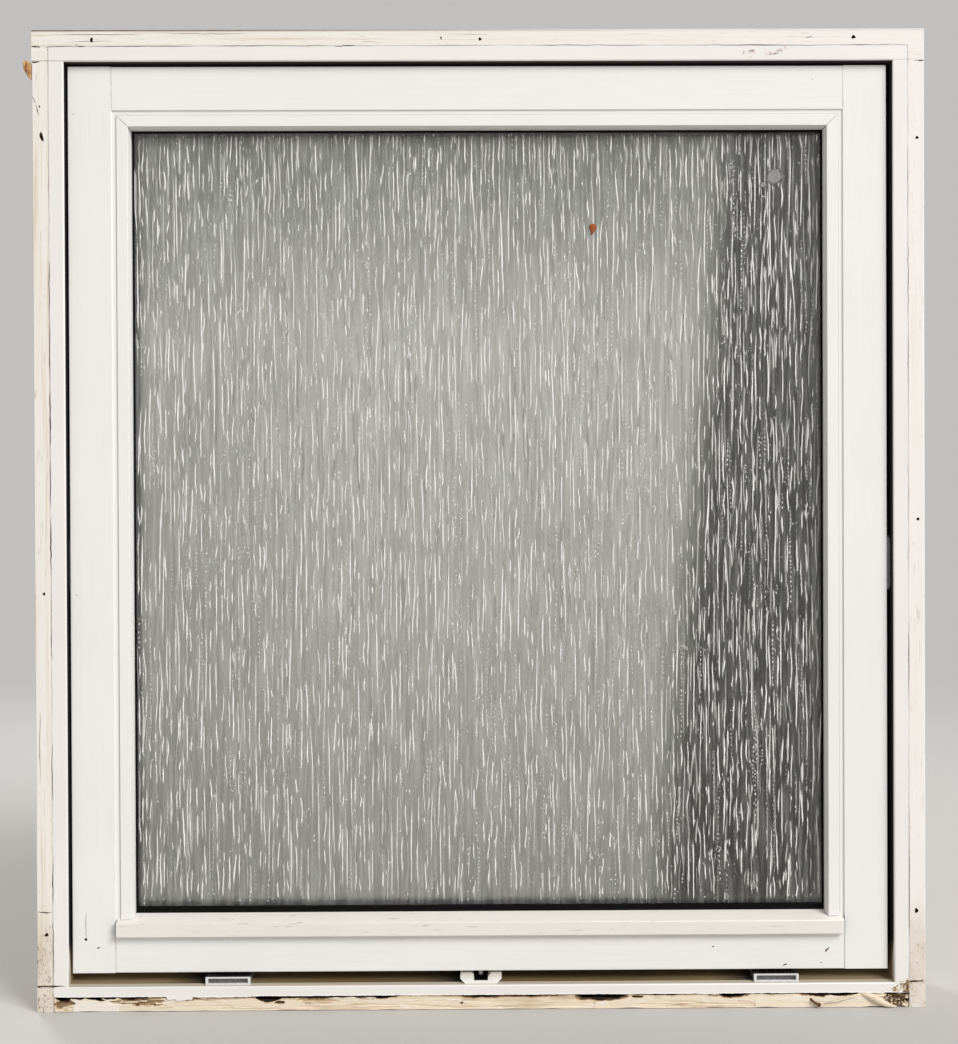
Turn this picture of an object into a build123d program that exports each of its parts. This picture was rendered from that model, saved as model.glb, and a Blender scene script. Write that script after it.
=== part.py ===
from build123d import *
from math import radians, tan
import os

os.makedirs("parts", exist_ok=True)

# An outward-opening painted timber window, seen from outside: a fixed frame, a glazed sash closed in
# its rebate, and the plastic and steel fittings in the gap between them. Millimetres, Z up, outside
# face towards -Y, origin at the bottom centre of the frame.

# Frame
WIDTH = 988.0            # overall, ten modules less the fitting joint
HEIGHT = 1088.0          # overall, eleven modules less the fitting joint
DEPTH = 115.0            # frame, outside face to inside face
FRAME_FACE = 35.0        # face of head and jambs in front of the sash
STOP_LAP = 16.0          # frame stop behind the sash edge
SILL_FRONT = 27.5        # height of the sill's front face
SILL_SLOPE = 8.0         # degrees, falling outwards
SILL_BACK = 55.0         # height of the sill behind the sash
END_BLOCK = 18.5         # full sill front left at each end
BARE_HEIGHT = 17.0       # torn lower strip of the sill front between the end blocks
BARE_DEPTH = 4.0         # how far that strip lies behind the painted front
GROOVE_HIGH = 5.0        # flashing groove along the top of that strip
GROOVE_DEEP = 10.0
FRAME_ARRIS = 1.5        # rounded outside edges
FRAME_ROUND = 4.0        # rounded edge towards the room

# Sash
SASH_RECESS = 8.0        # sash face behind the frame face
SASH_THICK = 56.0
SEAL_GAP = 4.0           # sash back to frame stop
SIDE_GAP = 3.6           # mean gap between jamb and sash
SIDE_SHIFT = 1.4         # the sash hangs this much to the left
TOP_GAP = 3.5
SASH_BOTTOM = 41.0       # height of the sash's lower edge
SHOULDER = 48.5          # flat face of stiles and top rail
QUIRK_WIDTH = 5.5        # sunk strip round the beads
QUIRK_DEPTH = 1.8
REBATE = 44.0            # glazing rebate, from the sash face
SIGHT = 68.0             # sash edge to the inner edge of the beads and the lip
BOTTOM_FLOOR = 50.0      # bottom rail's rebate floor above its lower edge
SASH_ARRIS = 1.2
LIP_ROUND = 3.0          # rounded edge of the inner lip
DRIP_CUT = 4.0           # drip groove, width and depth

# Glazing beads
BEAD_THICK = 14.0
BEAD_FLAT = 12.3         # flat front of side and top beads
BEVEL_DEPTH = 8.0        # depth of their sloping inner edge
NOSE_OUT = 7.5           # bottom bead in front of the sash face
NOSE_LOW = 41.0          # nose lower edge above the sash's lower edge
NOSE_HIGH = 56.5         # nose upper edge above the sash's lower edge
BEAD_BACK = 63.0         # bottom bead's upper edge at the glass, above the same edge
NOSE_CUT = 2.5           # drip groove under the nose
END_PLAY = 1.2           # open joint at each end of the nose
FOOT_PLAY = 0.8          # open joint under the side beads

# Sealed unit
PANE = 4.0
CAVITY = 16.0
GASKET = 3.0             # thickness of each glazing gasket
GASKET_SHOW = 2.0        # gasket edge showing past the beads
PANE_PLAY = 3.0          # pane edge to rebate floor, sides and top
BLOCK_HIGH = 5.0         # setting blocks under the unit
BLOCK_LONG = 80.0
SEAL_WIDTH = 4.0         # edge seal, from the pane edge inwards
SPACER_WIDTH = 6.5

# Seals and fittings
SEAL_WIDE = 8.0          # weatherstrip base
SEAL_CROWN = 5.0         # part of it pressed flat on the sash
SEAL_INSET = 2.0         # weatherstrip behind the stop's edge
LIFT_WIDE = 50.0         # clear lifting blocks on the sill
LIFT_DEEP = 36.0
LIFT_TOP = 37.2          # height of their level top
LIFT_SETBACK = 3.0       # block front behind the frame face
LIFT_RIM = 3.0           # side walls round the front pocket
LIFT_SKIN = 1.8          # walls above and below the pocket
LIFT_POCKET = 4.0        # pocket depth
LIFT_LEFT_INSET = 211.0  # left block's middle from the frame's left side
LIFT_RIGHT_INSET = 166.0 # right block's middle from the frame's right side
KEEP_WIDE = 46.0         # white keep on the sill, under the middle of the sash
KEEP_DEEP = 30.0
KEEP_SETBACK = 3.8       # keep front behind the frame face
KEEP_TOP = 38.5
KEEP_SLOT = 15.5
KEEP_FLOOR = 31.5        # height of the slot's floor
KEEP_LEAD = 3.0          # lead-in at the slot's mouth
KEEP_CORNER = 5.5        # cut lower corners
PIN_DIA = 5.5            # lock pin under the sash
PIN_LONG = 5.5
PIN_SETBACK = 6.0        # pin centre behind the sash face
HINGE_LONG = 62.0        # hinge plates in the side gaps
HINGE_WIDE = 18.0
HINGE_LOW = 464.0        # height of their lower ends
HINGE_SETBACK = 5.0      # plate behind the sash face

# Handle, on the room side of the bottom rail
ROSE_LONG = 70.0
ROSE_WIDE = 28.0
ROSE_THICK = 9.0
NECK_DIA = 15.0
NECK_LONG = 20.0
GRIP_LONG = 118.0
GRIP_WIDE = 19.0
GRIP_THICK = 10.0
GRIP_ROUND = 4.0

# Planes and lines that several pieces share
OUT = -DEPTH / 2
IN = DEPTH / 2
SASH_FRONT = OUT + SASH_RECESS
SASH_BACK = SASH_FRONT + SASH_THICK
STOP = SASH_BACK + SEAL_GAP
SASH_LEFT = -WIDTH / 2 + FRAME_FACE + SIDE_GAP - SIDE_SHIFT
SASH_RIGHT = WIDTH / 2 - FRAME_FACE - SIDE_GAP - SIDE_SHIFT
SASH_TOP = HEIGHT - FRAME_FACE - TOP_GAP
FLOOR = SHOULDER + QUIRK_WIDTH
FRAME_BACK = FRAME_FACE + STOP_LAP
BEAD_REAR = SASH_FRONT + BEAD_THICK
OUTER_PANE = BEAD_REAR + GASKET
INNER_PANE = OUTER_PANE + PANE + CAVITY
PANE_INSET = FLOOR + PANE_PLAY
PANE_LOW = SASH_BOTTOM + BOTTOM_FLOOR + BLOCK_HIGH
RISE = tan(radians(SILL_SLOPE))


def section(*corners):
    """A closed outline. A corner with a third number is rounded to that radius."""
    points = [corner[:2] for corner in corners]
    radii = [corner[2] if len(corner) > 2 else 0 for corner in corners]
    return make_face(FilletPolyline(*points, radius=radii, close=True))


def along_x(outline, left, right):
    """Runs an outline drawn in (Y, Z) from one X to the other."""
    return Pos(left, 0, 0) * extrude(Plane.YZ * outline, amount=right - left)


def along_z(outline, low, high):
    """Runs an outline drawn in (X, Y) from one height to the other."""
    return Pos(0, 0, low) * extrude(outline, amount=high - low)


def along_y(outline, front, back):
    """Runs an outline drawn in (X, Z) from one depth to the other."""
    return Pos(0, back, 0) * extrude(Plane.XZ * outline, amount=back - front)


def block(left, right, front, back, low, high):
    """A plain box between two X, two Y and two Z values."""
    return Pos((left + right) / 2, (front + back) / 2, (low + high) / 2) * Box(
        right - left, back - front, high - low
    )


def loop(inset, low, width, front, back):
    """A flat ring inside the sash: its outer edge inset from the sash edges, its foot at a height."""
    left, right, high = SASH_LEFT + inset, SASH_RIGHT - inset, SASH_TOP - inset
    ring = block(left, right, front, back, low, high)
    return ring - block(left + width, right - width, front, back, low + width, high - width)


def mirrored(solid):
    """The same piece on the other side of the sash's middle."""
    middle = (SASH_LEFT + SASH_RIGHT) / 2
    return Pos(2 * middle, 0, 0) * mirror(solid, about=Plane.YZ)


def sill_height(y):
    """Height of the sill's sloping top at a depth."""
    return SILL_FRONT + (y - OUT) * RISE


pieces = {}

# Frame: head and sill run through, the jambs stand between them, scribed round the rebate steps.
head_low = HEIGHT - FRAME_FACE
head = along_x(
    section(
        (OUT, HEIGHT, FRAME_ARRIS),
        (OUT, head_low, FRAME_ARRIS),
        (STOP, head_low),
        (STOP, HEIGHT - FRAME_BACK, FRAME_ARRIS),
        (IN, HEIGHT - FRAME_BACK, FRAME_ROUND),
        (IN, HEIGHT, FRAME_ARRIS),
    ),
    -WIDTH / 2,
    WIDTH / 2,
)
sill = along_x(
    section(
        (OUT, 0),
        (OUT, SILL_FRONT, FRAME_ARRIS),
        (STOP, sill_height(STOP)),
        (STOP, SILL_BACK, FRAME_ARRIS),
        (IN, SILL_BACK, FRAME_ROUND),
        (IN, 0, FRAME_ARRIS),
    ),
    -WIDTH / 2,
    WIDTH / 2,
)
jamb = along_z(
    section(
        (-WIDTH / 2, OUT, FRAME_ARRIS),
        (-WIDTH / 2 + FRAME_FACE, OUT, FRAME_ARRIS),
        (-WIDTH / 2 + FRAME_FACE, STOP),
        (-WIDTH / 2 + FRAME_BACK, STOP, FRAME_ARRIS),
        (-WIDTH / 2 + FRAME_BACK, IN, FRAME_ROUND),
        (-WIDTH / 2, IN, FRAME_ARRIS),
    ),
    SILL_FRONT - FRAME_ARRIS,
    head_low,
)
jamb = jamb - block(-WIDTH / 2, 0, STOP, IN, HEIGHT - FRAME_BACK, HEIGHT) - sill
bare_half = WIDTH / 2 - END_BLOCK
pieces["frame_head"] = head
bare_face = OUT + BARE_DEPTH
pieces["frame_sill"] = (
    sill
    - block(-bare_half, bare_half, OUT, bare_face, 0, BARE_HEIGHT)
    - block(
        -bare_half,
        bare_half,
        bare_face,
        bare_face + GROOVE_DEEP,
        BARE_HEIGHT - GROOVE_HIGH,
        BARE_HEIGHT,
    )
)
pieces["frame_left_jamb"] = jamb
pieces["frame_right_jamb"] = mirror(jamb, about=Plane.YZ)

# Weatherstrips: a soft strip on each stop face, its crown pressed flat by the back of the sash.
seal_far = FRAME_BACK - SEAL_INSET
seal_near = seal_far - SEAL_WIDE
ease = (SEAL_WIDE - SEAL_CROWN) / 2
seal_left = -WIDTH / 2
left_seal = along_z(
    section(
        (seal_left + seal_near, STOP),
        (seal_left + seal_near + ease, SASH_BACK),
        (seal_left + seal_far - ease, SASH_BACK),
        (seal_left + seal_far, STOP),
    ),
    SILL_BACK - SEAL_INSET,
    HEIGHT - seal_far,
)
pieces["left_weatherstrip"] = left_seal
pieces["right_weatherstrip"] = mirror(left_seal, about=Plane.YZ)
pieces["top_weatherstrip"] = along_x(
    section(
        (STOP, HEIGHT - seal_near),
        (SASH_BACK, HEIGHT - seal_near - ease),
        (SASH_BACK, HEIGHT - seal_far + ease),
        (STOP, HEIGHT - seal_far),
    ),
    seal_left + seal_near,
    -seal_left - seal_near,
)
sill_seal_high = SILL_BACK - SEAL_INSET
pieces["bottom_weatherstrip"] = along_x(
    section(
        (STOP, sill_seal_high),
        (SASH_BACK, sill_seal_high - ease),
        (SASH_BACK, sill_seal_high - SEAL_WIDE + ease),
        (STOP, sill_seal_high - SEAL_WIDE),
    ),
    seal_left + seal_near,
    -seal_left - seal_near,
)

# Sash: stiles run through, the rails are scribed over the stiles' sunk strip and inner lip.
left_stile = along_z(
    section(
        (SASH_LEFT, SASH_FRONT, SASH_ARRIS),
        (SASH_LEFT + SHOULDER, SASH_FRONT, SASH_ARRIS / 2),
        (SASH_LEFT + SHOULDER, SASH_FRONT + QUIRK_DEPTH),
        (SASH_LEFT + FLOOR, SASH_FRONT + QUIRK_DEPTH),
        (SASH_LEFT + FLOOR, SASH_FRONT + REBATE),
        (SASH_LEFT + SIGHT, SASH_FRONT + REBATE),
        (SASH_LEFT + SIGHT, SASH_BACK, LIP_ROUND),
        (SASH_LEFT, SASH_BACK, SASH_ARRIS),
    ),
    SASH_BOTTOM,
    SASH_TOP,
)
rail_left = SASH_LEFT + SHOULDER
rail_right = SASH_RIGHT - SHOULDER
top_rail = along_x(
    section(
        (SASH_FRONT, SASH_TOP, SASH_ARRIS),
        (SASH_FRONT, SASH_TOP - SHOULDER, SASH_ARRIS / 2),
        (SASH_FRONT + QUIRK_DEPTH, SASH_TOP - SHOULDER),
        (SASH_FRONT + QUIRK_DEPTH, SASH_TOP - FLOOR),
        (SASH_FRONT + REBATE, SASH_TOP - FLOOR),
        (SASH_FRONT + REBATE, SASH_TOP - SIGHT),
        (SASH_BACK, SASH_TOP - SIGHT, LIP_ROUND),
        (SASH_BACK, SASH_TOP, SASH_ARRIS),
    ),
    rail_left,
    rail_right,
)
drip = SASH_FRONT + 2 * DRIP_CUT
bottom_rail = along_x(
    section(
        (SASH_FRONT, SASH_BOTTOM, SASH_ARRIS),
        (drip, SASH_BOTTOM),
        (drip, SASH_BOTTOM + DRIP_CUT, DRIP_CUT / 3),
        (drip + DRIP_CUT, SASH_BOTTOM + DRIP_CUT, DRIP_CUT / 3),
        (drip + DRIP_CUT, SASH_BOTTOM),
        (SASH_BACK, SASH_BOTTOM, SASH_ARRIS),
        (SASH_BACK, SASH_BOTTOM + SIGHT, LIP_ROUND),
        (SASH_FRONT + REBATE, SASH_BOTTOM + SIGHT),
        (SASH_FRONT + REBATE, SASH_BOTTOM + BOTTOM_FLOOR),
        (SASH_FRONT, SASH_BOTTOM + BOTTOM_FLOOR),
    ),
    rail_left,
    rail_right,
)
scribe = block(
    SASH_LEFT, SASH_LEFT + FLOOR, SASH_FRONT + QUIRK_DEPTH, SASH_BACK, SASH_BOTTOM, SASH_TOP
) + block(SASH_LEFT, SASH_LEFT + SIGHT, SASH_FRONT + REBATE, SASH_BACK, SASH_BOTTOM, SASH_TOP)
scribes = scribe + mirrored(scribe)
pieces["sash_left_stile"] = left_stile
pieces["sash_right_stile"] = mirrored(left_stile)
pieces["sash_top_rail"] = top_rail - scribes
pieces["sash_bottom_rail"] = bottom_rail - scribes

# Glazing beads: side and top beads are mitred at the top; the weathered bottom bead throws rain clear
# of the rail, and the side beads are scribed down on to its slope.
nose = SASH_FRONT - NOSE_OUT
groove = nose + NOSE_OUT / 2 - NOSE_CUT / 2
bottom_bead = along_x(
    section(
        (nose, SASH_BOTTOM + NOSE_LOW, SASH_ARRIS),
        (nose, SASH_BOTTOM + NOSE_HIGH, SASH_ARRIS),
        (BEAD_REAR, SASH_BOTTOM + BEAD_BACK),
        (BEAD_REAR, SASH_BOTTOM + BOTTOM_FLOOR),
        (SASH_FRONT, SASH_BOTTOM + BOTTOM_FLOOR),
        (SASH_FRONT, SASH_BOTTOM + NOSE_LOW),
        (groove + NOSE_CUT, SASH_BOTTOM + NOSE_LOW),
        (groove + NOSE_CUT, SASH_BOTTOM + NOSE_LOW + NOSE_CUT),
        (groove, SASH_BOTTOM + NOSE_LOW + NOSE_CUT),
        (groove, SASH_BOTTOM + NOSE_LOW),
    ),
    rail_left + END_PLAY,
    rail_right - END_PLAY,
)
bottom_bead = bottom_bead - scribes
bead_outer = SASH_LEFT + FLOOR
bead_inner = SASH_LEFT + SIGHT
side_bead = along_z(
    section(
        (bead_outer, SASH_FRONT, SASH_ARRIS / 2),
        (bead_outer + BEAD_FLAT, SASH_FRONT, SASH_ARRIS / 2),
        (bead_inner, SASH_FRONT + BEVEL_DEPTH),
        (bead_inner, BEAD_REAR),
        (bead_outer, BEAD_REAR),
    ),
    SASH_BOTTOM + BOTTOM_FLOOR,
    SASH_TOP - FLOOR,
)
side_outline = section(
    (bead_outer, SASH_BOTTOM + BOTTOM_FLOOR),
    (bead_inner, SASH_BOTTOM + BOTTOM_FLOOR),
    (bead_inner, SASH_TOP - SIGHT),
    (bead_outer, SASH_TOP - FLOOR),
)
left_bead = (side_bead & along_y(side_outline, SASH_FRONT, BEAD_REAR)) - bottom_bead
left_bead = left_bead - Pos(0, 0, FOOT_PLAY) * bottom_bead
top_bead = along_x(
    section(
        (SASH_FRONT, SASH_TOP - FLOOR, SASH_ARRIS / 2),
        (SASH_FRONT, SASH_TOP - FLOOR - BEAD_FLAT, SASH_ARRIS / 2),
        (SASH_FRONT + BEVEL_DEPTH, SASH_TOP - SIGHT),
        (BEAD_REAR, SASH_TOP - SIGHT),
        (BEAD_REAR, SASH_TOP - FLOOR),
    ),
    bead_outer,
    SASH_RIGHT - FLOOR,
)
top_outline = section(
    (bead_outer, SASH_TOP - FLOOR),
    (bead_inner, SASH_TOP - SIGHT),
    (SASH_RIGHT - SIGHT, SASH_TOP - SIGHT),
    (SASH_RIGHT - FLOOR, SASH_TOP - FLOOR),
)
pieces["left_glazing_bead"] = left_bead
pieces["right_glazing_bead"] = mirrored(left_bead)
pieces["top_glazing_bead"] = top_bead & along_y(top_outline, SASH_FRONT, BEAD_REAR)
pieces["bottom_glazing_bead"] = bottom_bead

# Sealed unit: patterned outer pane, clear inner pane, hollow bar and edge seal between them, on two
# setting blocks, held between two gaskets that show as a dark line round the glass.
pane_left = SASH_LEFT + PANE_INSET
pane_right = SASH_RIGHT - PANE_INSET
pane_high = SASH_TOP - PANE_INSET
cavity_front = OUTER_PANE + PANE
pieces["patterned_pane"] = block(
    pane_left, pane_right, OUTER_PANE, cavity_front, PANE_LOW, pane_high
)
pieces["clear_pane"] = block(
    pane_left, pane_right, INNER_PANE, INNER_PANE + PANE, PANE_LOW, pane_high
)
pieces["edge_seal"] = loop(PANE_INSET, PANE_LOW, SEAL_WIDTH, cavity_front, INNER_PANE)
pieces["spacer_bar"] = loop(
    PANE_INSET + SEAL_WIDTH, PANE_LOW + SEAL_WIDTH, SPACER_WIDTH, cavity_front, INNER_PANE
)
gasket_edge = SIGHT + GASKET_SHOW
gasket_width = gasket_edge - PANE_INSET
gasket_low = SASH_BOTTOM + gasket_edge - gasket_width
pieces["outer_gasket"] = loop(PANE_INSET, gasket_low, gasket_width, BEAD_REAR, OUTER_PANE)
pieces["inner_gasket"] = loop(
    PANE_INSET, gasket_low, gasket_width, INNER_PANE + PANE, SASH_FRONT + REBATE
)
block_reach = (pane_right - pane_left) / 4
for side, x in (("left", -block_reach), ("right", block_reach)):
    x = x - SIDE_SHIFT
    pieces[f"{side}_setting_block"] = block(
        x - BLOCK_LONG / 2,
        x + BLOCK_LONG / 2,
        OUTER_PANE,
        INNER_PANE + PANE,
        SASH_BOTTOM + BOTTOM_FLOOR,
        PANE_LOW,
    )

# Fittings in the bottom gap: two clear lifting blocks and a white keep on the sill, a pin on the sash.
lift_front = OUT + LIFT_SETBACK
lift_back = lift_front + LIFT_DEEP
for side, x in (("left", LIFT_LEFT_INSET - WIDTH / 2), ("right", WIDTH / 2 - LIFT_RIGHT_INSET)):
    wedge = block(
        x - LIFT_WIDE / 2, x + LIFT_WIDE / 2, lift_front, lift_back, SILL_FRONT, LIFT_TOP
    )
    pocket = block(
        x - LIFT_WIDE / 2 + LIFT_RIM,
        x + LIFT_WIDE / 2 - LIFT_RIM,
        lift_front,
        lift_front + LIFT_POCKET,
        sill_height(lift_front + LIFT_POCKET) + LIFT_SKIN,
        LIFT_TOP - LIFT_SKIN,
    )
    pieces[f"{side}_lifting_block"] = wedge - sill - pocket
keep_front = OUT + KEEP_SETBACK
keep_low = sill_height(keep_front)
keep = along_y(
    section(
        (-KEEP_WIDE / 2, keep_low + KEEP_CORNER, KEEP_CORNER / 3),
        (-KEEP_WIDE / 2 + KEEP_CORNER, keep_low),
        (KEEP_WIDE / 2 - KEEP_CORNER, keep_low),
        (KEEP_WIDE / 2, keep_low + KEEP_CORNER, KEEP_CORNER / 3),
        (KEEP_WIDE / 2, KEEP_TOP, SASH_ARRIS),
        (KEEP_SLOT / 2 + KEEP_LEAD, KEEP_TOP),
        (KEEP_SLOT / 2, KEEP_TOP - KEEP_LEAD),
        (KEEP_SLOT / 2, KEEP_FLOOR),
        (-KEEP_SLOT / 2, KEEP_FLOOR),
        (-KEEP_SLOT / 2, KEEP_TOP - KEEP_LEAD),
        (-KEEP_SLOT / 2 - KEEP_LEAD, KEEP_TOP),
        (-KEEP_WIDE / 2, KEEP_TOP, SASH_ARRIS),
    ),
    keep_front,
    keep_front + KEEP_DEEP,
)
pieces["centre_keep"] = Pos(-SIDE_SHIFT, 0, 0) * keep - sill
pieces["lock_pin"] = (
    Pos(-SIDE_SHIFT, SASH_FRONT + PIN_SETBACK, SASH_BOTTOM - PIN_LONG / 2)
    * Cylinder(PIN_DIA / 2, PIN_LONG)
)

# Hinge plates: a steel plate fills the gap between jamb and stile at mid-height on each side.
hinge_front = SASH_FRONT + HINGE_SETBACK
for side, near, far in (
    ("left", -WIDTH / 2 + FRAME_FACE, SASH_LEFT),
    ("right", SASH_RIGHT, WIDTH / 2 - FRAME_FACE),
):
    plate = block(
        near, far, hinge_front, hinge_front + HINGE_WIDE, HINGE_LOW, HINGE_LOW + HINGE_LONG
    )
    pieces[f"{side}_hinge_plate"] = fillet(plate.edges().filter_by(Axis.X), HINGE_WIDE / 4)

# Handle: an oval rose on the bottom rail's room face, a round neck and a lever grip.
rose_z = SASH_BOTTOM + (SILL_BACK - SASH_BOTTOM + SIGHT) / 2
on_rail = Pos(-SIDE_SHIFT, SASH_BACK, rose_z)
rose = extrude(Plane.XZ * SlotOverall(ROSE_LONG, ROSE_WIDE), amount=-ROSE_THICK)
rose = fillet(rose.faces().sort_by(Axis.Y)[-1].edges(), ROSE_THICK / 3)
neck = extrude(Plane.XZ.offset(-ROSE_THICK) * Circle(NECK_DIA / 2), amount=-NECK_LONG)
grip = Pos(GRIP_LONG / 2 - GRIP_WIDE / 2, 0, 0) * extrude(
    Plane.XZ.offset(-ROSE_THICK - NECK_LONG) * SlotOverall(GRIP_LONG, GRIP_WIDE),
    amount=-GRIP_THICK,
)
grip = fillet(grip.edges().filter_by(GeomType.CIRCLE) + grip.edges().filter_by(Axis.X), GRIP_ROUND)
pieces["handle_rose"] = on_rail * rose
pieces["handle_lever"] = on_rail * (neck + grip)

for name, piece in pieces.items():
    export_step(piece, f"parts/{name}.step")
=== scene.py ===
import math
import random

import bmesh
import bpy
from mathutils import Matrix, Vector, noise


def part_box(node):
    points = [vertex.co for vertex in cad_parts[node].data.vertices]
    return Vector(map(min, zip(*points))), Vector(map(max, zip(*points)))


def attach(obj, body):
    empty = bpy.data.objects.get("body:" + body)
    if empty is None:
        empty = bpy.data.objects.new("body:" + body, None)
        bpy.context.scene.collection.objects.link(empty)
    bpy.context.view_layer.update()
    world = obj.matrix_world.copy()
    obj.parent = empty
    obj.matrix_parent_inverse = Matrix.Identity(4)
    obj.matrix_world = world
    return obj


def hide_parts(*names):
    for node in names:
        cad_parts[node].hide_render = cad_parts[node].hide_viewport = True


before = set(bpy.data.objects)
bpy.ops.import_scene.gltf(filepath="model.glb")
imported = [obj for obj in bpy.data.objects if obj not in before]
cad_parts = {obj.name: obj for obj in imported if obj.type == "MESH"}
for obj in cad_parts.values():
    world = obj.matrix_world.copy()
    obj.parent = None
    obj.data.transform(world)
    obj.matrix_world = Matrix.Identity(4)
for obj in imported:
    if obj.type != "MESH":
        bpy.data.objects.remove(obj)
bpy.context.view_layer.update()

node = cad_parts


# Frame: head and sill run the full width and the two jambs stand between them, planed pine
# tenoned and glued, brushed white. The outer 18 mm of the face was under a nailed-on casing,
# now pulled off, and shows cream primer over the grain.
def linear(code):
    """An sRGB hex colour as linear RGBA."""
    srgb = [int(code[i:i + 2], 16) / 255 for i in (1, 3, 5)]
    return [c / 12.92 if c <= 0.04045 else ((c + 0.055) / 1.055) ** 2.4 for c in srgb] + [1.0]


def add(tree, kind, inputs=(), out=0, stops=(), **settings):
    """Adds a shader node. Its inputs are values, hex colours or links, in order or by name; a Mix takes
    a factor and two colours; stops are a ramp's. Gives one output, or all of them where out is None."""
    if kind == "Mix":
        settings, inputs, out = {"data_type": "RGBA", **settings}, dict(zip((0, 6, 7), inputs)), 2
    made = tree.nodes.new("ShaderNode" + kind)
    for name, value in settings.items():
        setattr(made, name, value)
    for k, (position, colour) in enumerate(stops):
        stop = made.color_ramp.elements[k] if k < 2 else made.color_ramp.elements.new(position)
        stop.position, stop.color = position, linear(colour) if isinstance(colour, str) else colour
    for name, value in inputs.items() if isinstance(inputs, dict) else enumerate(inputs):
        if isinstance(value, bpy.types.NodeSocket):
            tree.links.new(value, made.inputs[name])
        else:
            made.inputs[name].default_value = linear(value) if isinstance(value, str) else value
    return made.outputs if out is None else made.outputs[out]


def surface(name, **values):
    """A new material with plain values on its Principled surface, its node tree and the place in it."""
    material = bpy.data.materials.new(name)
    material.use_nodes = True
    tree = material.node_tree
    for socket, value in values.items():
        tree.nodes["Principled BSDF"].inputs[socket.replace("_", " ")].default_value = value
    return material, tree, add(tree, "TexCoord", out="Object")


def wire(tree, **links):
    """Links outputs to the sockets of a material's Principled surface."""
    for socket, output in links.items():
        tree.links.new(output, tree.nodes["Principled BSDF"].inputs[socket.replace("_", " ")])


def with_grain(tree, place, along, across, length):
    """The place, stretched for marks of that width and length in metres that run with the grain."""
    size = (length, across, across) if along == "X" else (across, across, length)
    return add(tree, "Mapping", {"Vector": place, "Scale": [1 / s for s in size]})


def satin_paint(name, along, white, shade):
    """Satin alkyd paint on pine: bristle marks 1.6 mm apart run with the grain, the white drifts a
    little from hand to hand, and the sheen is uneven."""
    material, tree, place = surface(name, Specular_IOR_Level=0.42)
    brushed = with_grain(tree, place, along, 0.0016, 0.085)
    bristle = add(tree, "TexNoise", {"Vector": brushed, "Scale": 1, "Detail": 3})
    drift = add(tree, "TexNoise", {"Vector": place, "Scale": 1 / 0.11, "Detail": 3})
    tint = add(tree, "Mix", (drift, white, shade))
    fine = add(tree, "MapRange", (bristle, 0.3, 0.7, 0.965, 1))
    coat = add(tree, "Mix", (1, tint, fine), blend_type="MULTIPLY")
    wire(tree, Base_Color=coat, Roughness=add(tree, "MapRange", (drift, 0, 1, 0.34, 0.52)),
         Normal=add(tree, "Bump", {"Height": bristle, "Strength": 0.16, "Distance": 0.0003}))
    return material, tree, place, coat


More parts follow.
